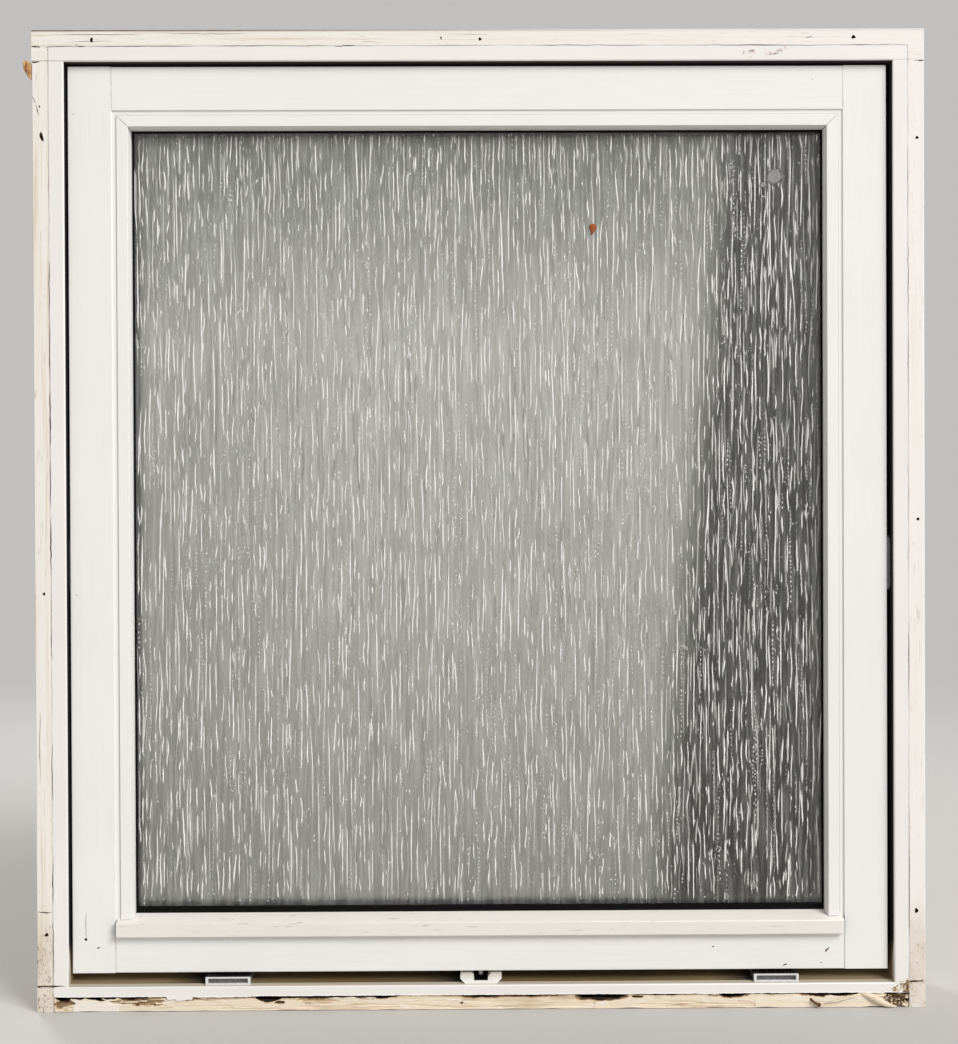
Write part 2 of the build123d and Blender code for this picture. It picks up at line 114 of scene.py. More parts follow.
# Primed margin and rebate: outside the old casing line the pine carries only cream oil primer, pitted
# where damp got in. In the rebate and under the sash the wood is painted dark brown, partly weathered
# wood and partly painted shade of the narrow gaps.
margin_x, margin_z = 0.4757, 1.0697
rebate_x, rebate_z = 0.4590, 1.0530
frame_paint = {}
for along, lie in (("X", "level"), ("Z", "upright")):
    frame_paint[along], tree, place, coat = satin_paint(
        "satin_white_paint_and_primer_" + lie, along, "#F3F0EC", "#EAE6E1")
    x, y, z = add(tree, "SeparateXYZ", (place,), None)
    side = add(tree, "Math", (x,), operation="ABSOLUTE")
    past_side = add(tree, "Math", (side, margin_x), operation="SUBTRACT")
    past_top = add(tree, "Math", (z, margin_z), operation="SUBTRACT")
    past = add(tree, "Math", (past_side, past_top), operation="MAXIMUM")
    ragged = add(tree, "TexNoise", {"Vector": place, "Scale": 1 / 0.009, "Detail": 5, "Roughness": 0.7})
    shift = add(tree, "Math", (ragged, 0.0026, -0.0013), operation="MULTIPLY_ADD")
    edge = add(tree, "Math", (past, shift), operation="ADD")
    primed = add(tree, "MapRange", (edge, -0.0002, 0.0003))

    # The growth rings, some 4 mm apart, show through the primer, which is creamiest on the left and
    # nearly white on the right.
    ring = with_grain(tree, place, along, 0.004, 0.16)
    rings = add(tree, "TexNoise", {"Vector": ring, "Scale": 1, "Detail": 5, "Roughness": 0.6,
                                   "Distortion": 0.6})
    primer = add(tree, "ValToRGB", (rings,),
                 stops=((0.30, "#D6CAB6"), (0.60, "#EFEAE3"), (0.44, "#EAE3D7")))
    fresher = add(tree, "MapRange", (x, -0.2, 0.45, 0, 0.7))
    ground = add(tree, "Mix", (fresher, primer, "#F1EDE9"))

    # Checks: hair cracks in the primer, under a millimetre wide and some 25 mm long, with the grain.
    hair = with_grain(tree, place, along, 0.0011, 0.025)
    checks = add(tree, "TexNoise", {"Vector": hair, "Scale": 1, "Detail": 2})
    worn_band = add(tree, "TexNoise", {"Vector": place, "Scale": 1 / 0.09, "Detail": 2})
    uneven = add(tree, "Math", (worn_band, 0.16, checks), operation="MULTIPLY_ADD")
    cracked = add(tree, "MapRange", (uneven, 0.755, 0.82, 0, 0.55))
    # Pits: rot has eaten specks 1 to 2 mm across into the feet of the jambs, most of all on the left.
    specks = add(tree, "Mapping", {"Vector": place, "Scale": (1 / 0.0017, 1 / 0.002, 1 / 0.0042)})
    pits = add(tree, "TexNoise", {"Vector": specks, "Scale": 1, "Detail": 5, "Roughness": 0.62})
    patchy = add(tree, "TexNoise", {"Vector": place, "Scale": 1 / 0.018, "Detail": 2})
    foot = add(tree, "MapRange", (z, 0.070, 0.125, 1, 0))
    left = add(tree, "MapRange", (x, -0.1, 0.1, 0.24, 0.14))
    left = add(tree, "Math", (left, patchy), operation="MULTIPLY")
    rotten = add(tree, "Math", (foot, left, pits), operation="MULTIPLY_ADD")
    pitted = add(tree, "MapRange", (rotten, 0.68, 0.76, 0, 0.8))
    stained = add(tree, "Math", (foot, patchy), operation="MULTIPLY")
    for mask, colour in ((stained, "#CDBBA5"), (cracked, "#857564"), (pitted, "#66503F")):
        ground = add(tree, "Mix", (mask, ground, colour))
    bare = add(tree, "Mix", (primed, coat, ground))

    # The casing's edge left a dirty line in the paint, and the head's top arris is grimed.
    off_line = add(tree, "Math", (edge,), operation="ABSOLUTE")
    line = add(tree, "MapRange", (off_line, 0.0002, 0.0010, 1, 0))
    broken = add(tree, "TexNoise", {"Vector": ring, "Scale": 2.3, "Detail": 4})
    open_line = add(tree, "MapRange", (broken, 0.40, 0.66, 0.12, 0.85))
    dirt = add(tree, "Math", (line, open_line), operation="MULTIPLY")
    top_dirt = add(tree, "MapRange", (z, 1.0850, 1.0868))
    sooty = add(tree, "MapRange", (x, -0.30, 0.20, 0.95, 0.25))
    front = add(tree, "MapRange", (y, -0.0560, -0.0480, 1, 0.2))
    for mask in (sooty, front):
        top_dirt = add(tree, "Math", (top_dirt, mask), operation="MULTIPLY")
    grime = add(tree, "Math", (dirt, top_dirt), operation="MAXIMUM")
    rusty = add(tree, "MapRange", (patchy, 0.52, 0.66))
    soil = add(tree, "Mix", (rusty, "#75685B", "#6E3F28"))
    worn = add(tree, "Mix", (grime, bare, soil))

    # Rebate: painted dark from the arris inwards as far as the stop, partly weathered wood and partly
    # painted shade of the narrow gap, browner on the sill where it lies under the sash.
    in_side = add(tree, "Math", (side, rebate_x), operation="SUBTRACT")
    in_top = add(tree, "Math", (z, rebate_z), operation="SUBTRACT")
    beyond = add(tree, "Math", (in_side, in_top), operation="MAXIMUM")
    inside = add(tree, "MapRange", (beyond, 0.0003, 0.0007, 1, 0))
    on_sill = add(tree, "MapRange", (z, 0.045, 0.075, 1, 0))
    outdoors = add(tree, "MapRange", (y, 0.0100, 0.0106, 1, 0))
    depth = add(tree, "Math", (on_sill, -0.0062, y), operation="MULTIPLY_ADD")
    shaded = add(tree, "MapRange", (depth, -0.0564, -0.0548))
    for mask in (inside, outdoors):
        shaded = add(tree, "Math", (shaded, mask), operation="MULTIPLY")
    umber = add(tree, "Mix", (rings, "#4A3A22", "#7A6540"))
    outer = add(tree, "MapRange", (side, 0.16, 0.42, 0, 0.75))
    umber = add(tree, "Mix", (outer, umber, "#968564"))
    # A painted shadow darkens the sill's top on the left of each fitting, where the fitting's shadow falls.
    painted_fitting_shadow = 0.0
    for fitting in (-0.308, -0.0244, 0.303):
        nearing = add(tree, "MapRange", (x, fitting - 0.046, fitting - 0.006, 0, 0.9))
        up_to = add(tree, "Math", (x, fitting + 0.045), operation="LESS_THAN")
        nearing = add(tree, "Math", (nearing, up_to), operation="MULTIPLY")
        painted_fitting_shadow = add(tree, "Math", (painted_fitting_shadow, nearing), operation="MAXIMUM")
    umber = add(tree, "Mix", (painted_fitting_shadow, umber, "#150F09"))
    # Under the head the rebate is brown; beside the stiles it is nearly black, most of all on the left,
    # as painted shade of the gap.
    to_right = add(tree, "MapRange", (x, -0.1, 0.1))
    tones = ("#3B332E", "#3B332E") if along == "X" else ("#070504", "#231C18")
    rebate = add(tree, "Mix", (to_right, *tones))
    weathered_and_shaded = add(tree, "Mix", (on_sill, rebate, umber))
    member = add(tree, "Mix", (shaded, worn, weathered_and_shaded))
    # The first 8 mm of the sill's top has lost its white and gone the grey-brown of old undercoat.
    apron = add(tree, "MapRange", (y, -0.0566, -0.0556))
    for mask in (on_sill, inside, outdoors):
        apron = add(tree, "Math", (apron, mask), operation="MULTIPLY")
    apron = add(tree, "Math", (apron, shaded), operation="SUBTRACT", use_clamp=True)
    member = add(tree, "Mix", (apron, member, "#BDB3A2"))
    # Behind the torn strip and in its groove the sill is painted near black, partly raw wood dark with age
    # and partly painted shade of the groove.
    raw_and_shaded = add(tree, "MapRange", (z, 0.0169, 0.0172, 1, 0))
    behind = add(tree, "MapRange", (y, -0.0570, -0.0564))
    grooved = add(tree, "Math", (y, -0.042), operation="LESS_THAN")
    between = add(tree, "MapRange", (side, 0.4756, 0.4759, 1, 0))
    for mask in (behind, grooved, between):
        raw_and_shaded = add(tree, "Math", (raw_and_shaded, mask), operation="MULTIPLY")
    member = add(tree, "Mix", (raw_and_shaded, member, "#241912"))
    dull = add(tree, "MapRange", (primed, 0, 1, 0.42, 0.74))
    matt = add(tree, "Math", (shaded, 0.5, dull), operation="MULTIPLY_ADD", use_clamp=True)
    wire(tree, Base_Color=member, Roughness=matt)


# Nail holes, splits and a dropped knot: the casing's nails left 3 mm holes in the margin, and the wood
# has split along the casing line, mostly on the left jamb. They are cut into copies of the members.
def mesh_piece(name, points, faces, material, slot=None, smooth=False, **marks):
    """A new piece that moves with the window; marks are numbers that its points carry."""
    mesh = bpy.data.meshes.new(name)
    mesh.from_pydata(points, [], faces)
    mesh.validate()
    if smooth:
        mesh.polygons.foreach_set("use_smooth", [True] * len(mesh.polygons))
    mesh.materials.append(material)
    for mark, values in marks.items():
        mesh.attributes.new(mark, "FLOAT", "POINT").data.foreach_set("value", values)
    piece = bpy.data.objects.new(name, mesh)
    bpy.context.scene.collection.objects.link(piece)
    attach(piece, "root")
    return piece


def dress(piece, material, ease=0.0):
    """Gives a solid its finish and, where ease is set, arrises rounded by that much."""
    piece.data.materials.clear()
    piece.data.materials.append(material)
    if ease:
        piece.modifiers.new("joined seams", "WELD").merge_threshold = 0.00002
        arris = piece.modifiers.new("eased arris", "BEVEL")
        arris.width, arris.segments, arris.limit_method = ease, 2, "ANGLE"


def hole(points, faces, face, x, z, wide, high, turn, deep):
    """Adds a ragged tapering hole, drawn from in front of the face into the wood."""
    first, sides = len(points), 12
    for y, grow in ((face - 0.0015, 1.2), (face + 0.0003, 1.0), (face + deep, 0.5)):
        for k in range(sides):
            a = k * math.tau / sides
            ragged = 1 + 0.16 * math.sin(3 * a + 900 * x)
            u, v = wide / 2 * grow * ragged * math.cos(a), high / 2 * grow * ragged * math.sin(a)
            points.append((x + u * math.cos(turn) - v * math.sin(turn), y,
                           z + u * math.sin(turn) + v * math.cos(turn)))
    for low in (first, first + sides):
        faces += [(low + k, low + (k + 1) % sides, low + sides + (k + 1) % sides, low + sides + k)
                  for k in range(sides)]
    faces.append(tuple(range(first + sides - 1, first - 1, -1)))
    faces.append(tuple(range(first + 2 * sides, first + 3 * sides)))


def split(points, faces, face, start, end, width, deep, rng):
    """Adds a wandering crack between two (x, z) points, tapering to nothing at both ends."""
    first, steps = len(points), 9
    upright = abs(end[1] - start[1]) > abs(end[0] - start[0])
    for i in range(steps + 1):
        t = i / steps
        x = start[0] + (end[0] - start[0]) * t
        z = start[1] + (end[1] - start[1]) * t
        wander = 0.0005 * rng.uniform(-1, 1) if 0 < i < steps else 0
        half = 0.00006 + width / 2 * math.sin(math.pi * t) ** 0.7 * rng.uniform(0.55, 1.15)
        for y, h in ((face - 0.0015, half), (face + deep, half * 0.25)):
            for s in (-1, 1):
                points.append((x + wander + s * h, y, z) if upright else (x, y, z + wander + s * h))
    for i in range(steps):
        a, b = first + 4 * i, first + 4 * i + 4
        faces += [(a, b, b + 2, a + 2), (a + 1, a + 3, b + 3, b + 1), (a, a + 1, b + 1, b),
                  (a + 2, b + 2, b + 3, a + 3)]
    faces.append((first, first + 2, first + 3, first + 1))
    last = first + 4 * steps
    faces.append((last, last + 1, last + 3, last + 2))


def cut_wear(name, paint, inside, holes, cracks, rng):
    """Puts a copy of a member in its place, with its holes and cracks cut in and dark inside."""
    points, faces = [], []
    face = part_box(name)[0].y
    for mark in holes:
        hole(points, faces, face, *mark)
    for start, end, width, deep in cracks:
        split(points, faces, face, start, end, width, deep, rng)
    cutter = mesh_piece("cutter", points, faces, inside)
    turned = bmesh.new()
    turned.from_mesh(cutter.data)
    bmesh.ops.recalc_face_normals(turned, faces=turned.faces)
    turned.to_mesh(cutter.data)
    turned.free()
    whole = bpy.data.objects.new(name + "_worn", node[name].data.copy())
    bpy.context.scene.collection.objects.link(whole)
    dress(whole, paint, 0.0005)
    cut = whole.modifiers.new("holes and cracks", "BOOLEAN")
    cut.object, cut.operation, cut.solver, cut.material_mode = cutter, "DIFFERENCE", "EXACT", "TRANSFER"
    cut.use_self = True
    bpy.context.view_layer.update()
    worn = bpy.data.meshes.new_from_object(whole.evaluated_get(bpy.context.evaluated_depsgraph_get()))
    whole.modifiers.clear()
    whole.data = worn
    bpy.data.objects.remove(cutter)
    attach(whole, "root")
    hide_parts(name)


# The wood inside them is painted a flecked dark brown, partly aged end grain and partly painted shade of
# the holes and cracks.
raw_inside, tree, place = surface("aged_and_shaded_wood_in_cracks", Roughness=0.95, Specular_IOR_Level=0.1)
fleck = add(tree, "TexNoise", {"Vector": place, "Scale": 1 / 0.002, "Detail": 3})
wire(tree, Base_Color=add(tree, "Mix", (fleck, "#20130B", "#744623")))

# Each hole is x, z, width, height, turn and depth; each crack is its two ends, its width and its depth.
nail, driven = 0.0034, 0.009
wear = {
    "frame_head": (
        [(-0.4275, 1.0766, 0.0030, 0.0056, 0.0, driven), (0.0016, 1.0768, nail, nail, 0.0, driven),
         (0.4156, 1.0783, 0.0046, 0.0038, 0.3, driven), (-0.0415, 1.0780, 0.0016, 0.0034, 0.2, 0.002)],
        [((-0.4945, 1.0694), (-0.4840, 1.0690), 0.0022, 0.006),
         ((-0.4860, 1.0690), (-0.4480, 1.0696), 0.0007, 0.004),
         ((-0.4465, 1.0706), (-0.4330, 1.0690), 0.0011, 0.004),
         ((-0.4330, 1.0693), (-0.3100, 1.0697), 0.0006, 0.004),
         ((-0.29, 1.0699), (-0.20, 1.0697), 0.0007, 0.004),
         ((-0.16, 1.0690), (-0.135, 1.0702), 0.0012, 0.004),
         ((0.06, 1.0698), (0.15, 1.0698), 0.0006, 0.004), ((0.23, 1.0699), (0.385, 1.0694), 0.0007, 0.004),
         ((0.40, 1.0696), (0.475, 1.0700), 0.0006, 0.004),
         ((-0.470, 1.0826), (-0.372, 1.0818), 0.0006, 0.004),
         ((-0.455, 1.0745), (-0.405, 1.0752), 0.0005, 0.004),
         ((-0.345, 1.0835), (-0.255, 1.0829), 0.0006, 0.004),
         ((0.362, 1.0777), (0.3705, 1.0786), 0.0010, 0.003)]),
    "frame_left_jamb": (
        [(-0.4836, 0.4646, 0.0030, nail, 0.0, driven), (-0.4833, 0.9700, 0.0036, 0.0105, 0.26, 0.006),
         (-0.4854, 1.0034, 0.0016, 0.0028, 0.4, 0.003), (-0.4831, 0.0863, 0.0046, 0.0036, 0.5, 0.005)],
        [((-0.5180, 0.0287), (-0.4620, 0.0290), 0.0034, 0.0085),
         ((-0.4930, 1.0155), (-0.4895, 1.0060), 0.0010, 0.004),
         ((-0.4895, 1.0062), (-0.4863, 0.9930), 0.0009, 0.004),
         ((-0.4945, 1.0520), (-0.4850, 1.0522), 0.0020, 0.006),
         ((-0.4930, 0.1116), (-0.4770, 0.1110), 0.0016, 0.005),
         ((-0.4757, 0.835), (-0.4760, 0.770), 0.0011, 0.005),
         ((-0.4756, 0.765), (-0.4758, 0.700), 0.0010, 0.005),
         ((-0.4758, 0.690), (-0.4755, 0.628), 0.0016, 0.005),
         ((-0.4757, 0.615), (-0.4760, 0.560), 0.0012, 0.005),
         ((-0.4756, 0.552), (-0.4758, 0.486), 0.0015, 0.005),
         ((-0.4757, 0.430), (-0.4755, 0.390), 0.0009, 0.004),
         ((-0.4757, 0.300), (-0.4756, 0.235), 0.0010, 0.004),
         ((-0.4757, 0.170), (-0.4758, 0.120), 0.0013, 0.004),
         ((-0.4760, 0.104), (-0.4757, 0.040), 0.0010, 0.004),
         ((-0.4890, 0.335), (-0.4893, 0.255), 0.0006, 0.004)]),
    "frame_right_jamb": (
        [(0.4859, 0.9669, 0.0036, 0.0032, 0.4, driven), (0.4862, 0.5438, nail, nail, 0.0, driven),
         (0.4837, 0.1079, 0.0040, 0.0054, 0.0, driven)],
        [((0.5180, 0.0287), (0.4620, 0.0290), 0.0034, 0.0085),
         ((0.4945, 1.0520), (0.4830, 1.0523), 0.0013, 0.006),
         ((0.4757, 0.960), (0.4756, 0.880), 0.0006, 0.004),
         ((0.4757, 0.850), (0.4756, 0.770), 0.0006, 0.004),
         ((0.4758, 0.420), (0.4757, 0.350), 0.0006, 0.004),
         ((0.4757, 0.180), (0.4756, 0.080), 0.0008, 0.004)]),
}
rng = random.Random(11)
for name, (holes, cracks) in wear.items():
    cut_wear(name, frame_paint["X" if name == "frame_head" else "Z"], raw_inside, holes, cracks, rng)
dress(node["frame_sill"], frame_paint["X"], 0.0005)

# Torn sill strip: the lower front of the sill came away with the flashing. What is left is raw pine
# torn along the grain. Its colour follows the height of the tear, pale on the high fibres and brown to
# near black in the hollows and at its rim, partly the wood's own colour and partly painted shade, with
# the old flashing groove gaping black above it in places.
bare_pine, tree, place = surface("torn_raw_pine", Roughness=0.85, Specular_IOR_Level=0.2)
fibre = with_grain(tree, place, "X", 0.0012, 0.03)
fibres = add(tree, "TexNoise", {"Vector": fibre, "Scale": 1, "Detail": 4})
stain = add(tree, "TexNoise", {"Vector": place, "Scale": 1 / 0.03, "Detail": 4})
# The tear's height darkens the wood towards the hollows and the rim: partly brown wood, partly painted
# shade.
level = add(tree, "Attribute", out="Fac", attribute_name="tear_height")
for pattern in (fibres, stain):
    level = add(tree, "Math", (pattern, 0.34, level), operation="MULTIPLY_ADD")
wood = add(tree, "ValToRGB", (level,),
           stops=((0.12, "#150D08"), (1.0, "#F0E3D0"), (0.36, "#4A3524"), (0.52, "#8F7455"),
                  (0.65, "#CBB391"), (0.78, "#E8D8BF")))
left_paint = add(tree, "Attribute", out="Fac", attribute_name="paint_left")
wire(tree, Base_Color=add(tree, "Mix", (left_paint, wood, "#EEE6DC")),
     Normal=add(tree, "Bump", {"Height": fibres, "Strength": 0.5, "Distance": 0.0005}))


def close_sheet(points, faces, columns, rows, back):
    """Joins points laid out column by column into a sheet with a rim and a flat back. Gives the number
    of points that the back adds."""
    wide, front = rows + 1, len(points)
    for i in range(columns):
        for j in range(rows):
            a = i * wide + j
            faces.append((a, a + wide, a + wide + 1, a + 1))
    rim = [i * wide for i in range(columns + 1)] + [columns * wide + j for j in range(1, wide)]
    rim += [i * wide + rows for i in range(columns - 1, -1, -1)] + list(range(rows - 1, 0, -1))
    points += [(points[a][0], back, points[a][2]) for a in rim]
    for k in range(len(rim)):
        n = (k + 1) % len(rim)
        faces.append((rim[k], front + k, front + n, rim[n]))
    faces.append(tuple(range(front, front + len(rim))))
    return len(rim)


sill_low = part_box("frame_sill")[0]
half, columns, rows = 0.4753, 900, 17
strip_top, strip_back, strip_thick = 0.0169, sill_low.y + 0.0040, 0.0038
shredded_from = 0.447
# Where the strip has broken down below the paint: from x, to x, and how far down.
gapes = ((-0.4745, -0.4560, 0.0054), (-0.4580, -0.4400, 0.0034), (-0.4420, -0.4046, 0.0046),
         (-0.4060, -0.3700, 0.0034), (-0.2535, -0.2215, 0.0070), (-0.2420, -0.1330, 0.0032),
         (-0.1480, -0.0930, 0.0044), (-0.0240, 0.0210, 0.0036), (0.0180, 0.1040, 0.0022),
         (0.1010, 0.1640, 0.0058), (0.1630, 0.2400, 0.0022), (0.2620, 0.3000, 0.0042),
         (0.2980, 0.3580, 0.0020), (0.3540, 0.4240, 0.0038))
# Hollows torn out of its face: centre x and z, half length and height, and how much wood is left.
hollows = ((-0.3775, 0.0120, 0.0280, 0.0044, 0.0009), (-0.2940, 0.0144, 0.0420, 0.0028, 0.0015),
           (-0.2250, 0.0094, 0.0045, 0.0018, 0.0003), (-0.3835, 0.0070, 0.0013, 0.0013, 0.0001),
           (-0.0232, 0.0076, 0.0014, 0.0014, 0.0001), (0.1300, 0.0122, 0.0260, 0.0028, 0.0010),
           (0.1715, 0.0132, 0.0060, 0.0016, 0.0003), (0.2760, 0.0136, 0.0230, 0.0018, 0.0010),
           (0.3720, 0.0150, 0.0130, 0.0030, 0.0010), (0.4000, 0.0160, 0.0180, 0.0022, 0.0008),
           (0.4610, 0.0090, 0.0125, 0.0100, 0.0008), (-0.4650, 0.0080, 0.0085, 0.0052, 0.0009),
           (-0.1850, 0.0105, 0.0200, 0.0034, 0.0018), (0.0450, 0.0146, 0.0400, 0.0016, 0.0016))
# Plates of wood that tore off higher than the rest: from x, to x, and how much wood is left.
plates = ((-0.4545, -0.4050, 0.0033), (0.1254, 0.1400, 0.0032), (0.3040, 0.3580, 0.0031))
points, faces, heights, painted = [], [], [], []
for i in range(columns + 1):
    x = -half + 2 * half * i / columns
    frayed = noise.fractal(Vector((x / 0.012, 2.3, 0)), 0.9, 2.0, 4)
    drop = 0.00025 * (1 + frayed)
    for start, end, down in gapes:
        if start < x < end:
            t = (x - start) / (end - start)
            drop = max(drop, down * math.sin(math.pi * t) ** 0.45 * (1 + 0.28 * frayed))
    top = strip_top - drop
    foot = 0.0004 + max(0, 0.0013 * noise.noise(Vector((x / 0.03, 9.1, 0))))
    for j in range(rows + 1):
        z = foot + (top - foot) * j / rows
        slab = noise.fractal(Vector((x / 0.16, z / 0.011, 7.7)), 0.9, 2.0, 2)
        torn = noise.fractal(Vector((x / 0.06, z / 0.0026, 3.1)), 0.8, 2.0, 4)
        rise = 0.0027 + 0.0008 * slab + 0.00035 * torn
        rise = 0.45 * rise + 0.55 * round(rise / 0.0007) * 0.0007
        for start, end, remain in plates:
            if start < x < end:
                rise = max(rise, remain + 0.0001 * torn)
        for cx, cz, reach, tall, remain in hollows:
            skew = 0.75 * noise.fractal(Vector((x / 0.016, z / 0.004, cx * 50)), 0.9, 2.0, 4)
            off = math.hypot((x - cx) / reach, (z - cz) / tall) + skew
            if off < 1.1:
                rise = min(rise, remain + 0.0022 * max(0, (off - 0.90) / 0.2) + 0.0005 * torn)
        if x > shredded_from:
            rise += 0.0009 * noise.noise(Vector((x / 0.0018, z / 0.0016, 5.0)))
        rise = max(0.0002, min(strip_thick, rise))
        points.append((x, strip_back - rise, z))
        # Close under the paint the wood is darkened, partly brown stain and partly painted shade under the
        # paint's edge, here more and there less.
        stain_and_shade_under = max(0.0, 1 - (top - z) / 0.0026) * max(0.1, 0.55 + 0.6 * frayed)
        heights.append(rise / strip_thick * 0.72 - 0.34 * stain_and_shade_under - (0.10 if x > shredded_from else 0))
        # Paint is left on the first plate and in one patch beside it.
        flaked = noise.fractal(Vector((x / 0.02, z / 0.006, 1.7)), 0.9, 2.0, 3)
        sway = x + 0.004 * torn
        kept = 0.7 if -0.4545 < sway < -0.405 else 0.4 if -0.350 < sway < -0.322 and z > 0.0115 else -0.64
        paint = max(0.0, min(1.0, (flaked + kept) * 18)) * (1 - min(1, 2 * stain_and_shade_under))
        painted.append(paint if rise > 0.0016 else 0.0)
added = close_sheet(points, faces, columns, rows, strip_back)
mesh_piece("sill_torn_strip", points, faces, bare_pine, "painted_pine",
           tear_height=heights + [-0.6] * added, paint_left=painted + [0.0] * added)

# Ragged paint lip: the white coat has let go of the wood along the top of the tear and hangs in
# a thin torn fringe, deep in some places and gone in others.
points, faces = [], []
lip_top, lip_thick = 0.0178, 0.0006
for i in range(columns + 1):
    x = -half + 2 * half * i / columns
    hang = noise.fractal(Vector((x / 0.035, 5.5, 1.0)), 0.8, 2.2, 5)
    curl = 0.0004 + 0.0003 * noise.noise(Vector((x / 0.02, 1.0, 4.0)))
    tatter = noise.fractal(Vector((x / 0.0045, 3.5, 6.0)), 0.8, 2.2, 4)
    drop = max(0.0009, min(0.0030, 0.0013 + 0.0022 * hang)) + 0.0004 * tatter
    if -0.350 < x < -0.322:
        drop += 0.0026 + 0.0012 * tatter
    if x > shredded_from or any(start < x < end for start, end, down in gapes):
        drop = 0.0009 + 0.0004 * max(0.0, hang) + 0.00035 * tatter
    for t in (0, 0.5, 1):
        y = sill_low.y - 0.00005 - (curl - 0.00005) * t
        points.append((x, y, lip_top - drop * t))
        points.append((x, y + lip_thick, lip_top - drop * t))
for i in range(columns):
    a, b = 6 * i, 6 * i + 6
    faces += [(a, a + 2, b + 2, b), (a + 2, a + 4, b + 4, b + 2), (a + 1, b + 1, b + 3, a + 3),
              (a + 3, b + 3, b + 5, a + 5), (a, b, b + 1, a + 1), (a + 4, a + 5, b + 5, b + 4)]
last = 6 * columns
faces += [(0, 1, 3, 2), (2, 3, 5, 4), (last, last + 2, last + 3, last + 1),
          (last + 2, last + 4, last + 5, last + 3)]
mesh_piece("sill_paint_fringe", points, faces, frame_paint["X"], "painted_pine")

# Shredded corner: at the right end the paint is torn off up over the foot of the jamb, and the sill's end
# is a mat of short brown fibres. The mat is a thin ragged crust standing a millimetre off the face.
points, faces, heights = [], [], []
across, up = 44, 30
left_edge, right_edge, crust_low, crust_high = 0.4400, 0.4756, 0.0166, 0.0345
sill_edge, jamb_edge = 0.0266, 0.4600
for i in range(across + 1):
    for j in range(up + 1):
        u, v = i / across, j / up
        x = left_edge + (right_edge - left_edge) * u
        # Left of the jamb the face ends at the sill's top edge.
        ceiling = min(crust_high, max(sill_edge, sill_edge + 2.0 * (x - jamb_edge)))
        z = crust_low + (ceiling - crust_low) * v
        wisp = noise.fractal(Vector((x / 0.007, z / 0.006, 8.0)), 0.9, 2.0, 3)
        climb = u + 0.50 * wisp - 0.42 - 0.60 * v
        mat = noise.noise(Vector((x / 0.0016, z / 0.0013, 2.0)))
        cover = max(0.0, min(1.0, climb * 3.0))
        if i in (0, across) or j in (0, up):
            cover = 0.0
        points.append((x, sill_low.y + 0.0003 - cover * (0.0008 + 0.0007 * mat), z))
        heights.append(0.58 - 0.44 * cover + 0.30 * mat)
added = close_sheet(points, faces, across, up, sill_low.y + 0.0012)
mesh_piece("sill_shredded_corner", points, faces, bare_pine, "painted_pine",
           tear_height=heights + [0.1] * added)


# Splinters: slivers of pine still held by a few fibres along the torn strip, and a thick growth of short
# ones on the shredded corner. They are the same torn wood, each a little paler or browner.
def sliver(points, faces, root, tip, width, thick, bend):
    """Adds a four-sided shard tapering from its root to its tip, bowed by bend."""
    first, steps = len(points), 6
    run = Vector(tip) - Vector(root)
    side = run.cross(Vector((0, 1, 0))).normalized()
    for i in range(steps + 1):
        t = i / steps
        centre = Vector(root) + run * t + side * bend * math.sin(math.pi * t)
        w, h = width * (1 - 0.93 * t ** 1.4) / 2, thick * (1 - 0.9 * t) / 2
        ruffle = 1 + 0.25 * math.sin(7.3 * i + 40 * width)
        for s, y in ((-1, -1), (1, -1), (1, 1), (-1, 1)):
            points.append(tuple(centre + side * s * w * ruffle + Vector((0, y * h, 0))))
    for i in range(steps):
        a, b = first + 4 * i, first + 4 * i + 4
        faces += [(a + k, a + (k + 1) % 4, b + (k + 1) % 4, b + k) for k in range(4)]
    faces.append((first + 3, first + 2, first + 1, first))
    end = first + 4 * steps
    faces.append((end, end + 1, end + 2, end + 3))


points, faces, heights = [], [], []
rng = random.Random(5)
sliver_thick = 0.0006
for k in range(34):
    x = rng.uniform(-0.455, 0.440)
    z = rng.uniform(0.004, 0.0150)
    reach = rng.uniform(0.006, 0.030) * rng.choice((-1, 1))
    sliver(points, faces, (x, strip_back - 0.0022, z),
           (x + reach, strip_back - rng.uniform(0.0030, 0.0042), z + rng.uniform(-0.0022, 0.0016)),
           rng.uniform(0.0008, 0.0020), sliver_thick, rng.uniform(-0.001, 0.001))
    heights += [rng.uniform(0.28, 0.56)] * (len(points) - len(heights))
for k in range(64):
    x = rng.uniform(0.4480, 0.4735)
    z = rng.uniform(0.003, 0.017 + 0.014 * (x - 0.448) / 0.0255)
    root = strip_back - 0.0015 if z < strip_top else sill_low.y + 0.0002
    sliver(points, faces, (x, root, z),
           (x + rng.uniform(-0.006, 0.004), sill_low.y - rng.uniform(0.0002, 0.0022),
            z + rng.uniform(-0.003, 0.003)),
           rng.uniform(0.0007, 0.0015), sliver_thick, rng.uniform(-0.0006, 0.0006))
    heights += [rng.uniform(0.0, 0.62)] * (len(points) - len(heights))
mesh_piece("sill_splinters", points, faces, bare_pine, "painted_pine", tear_height=heights)

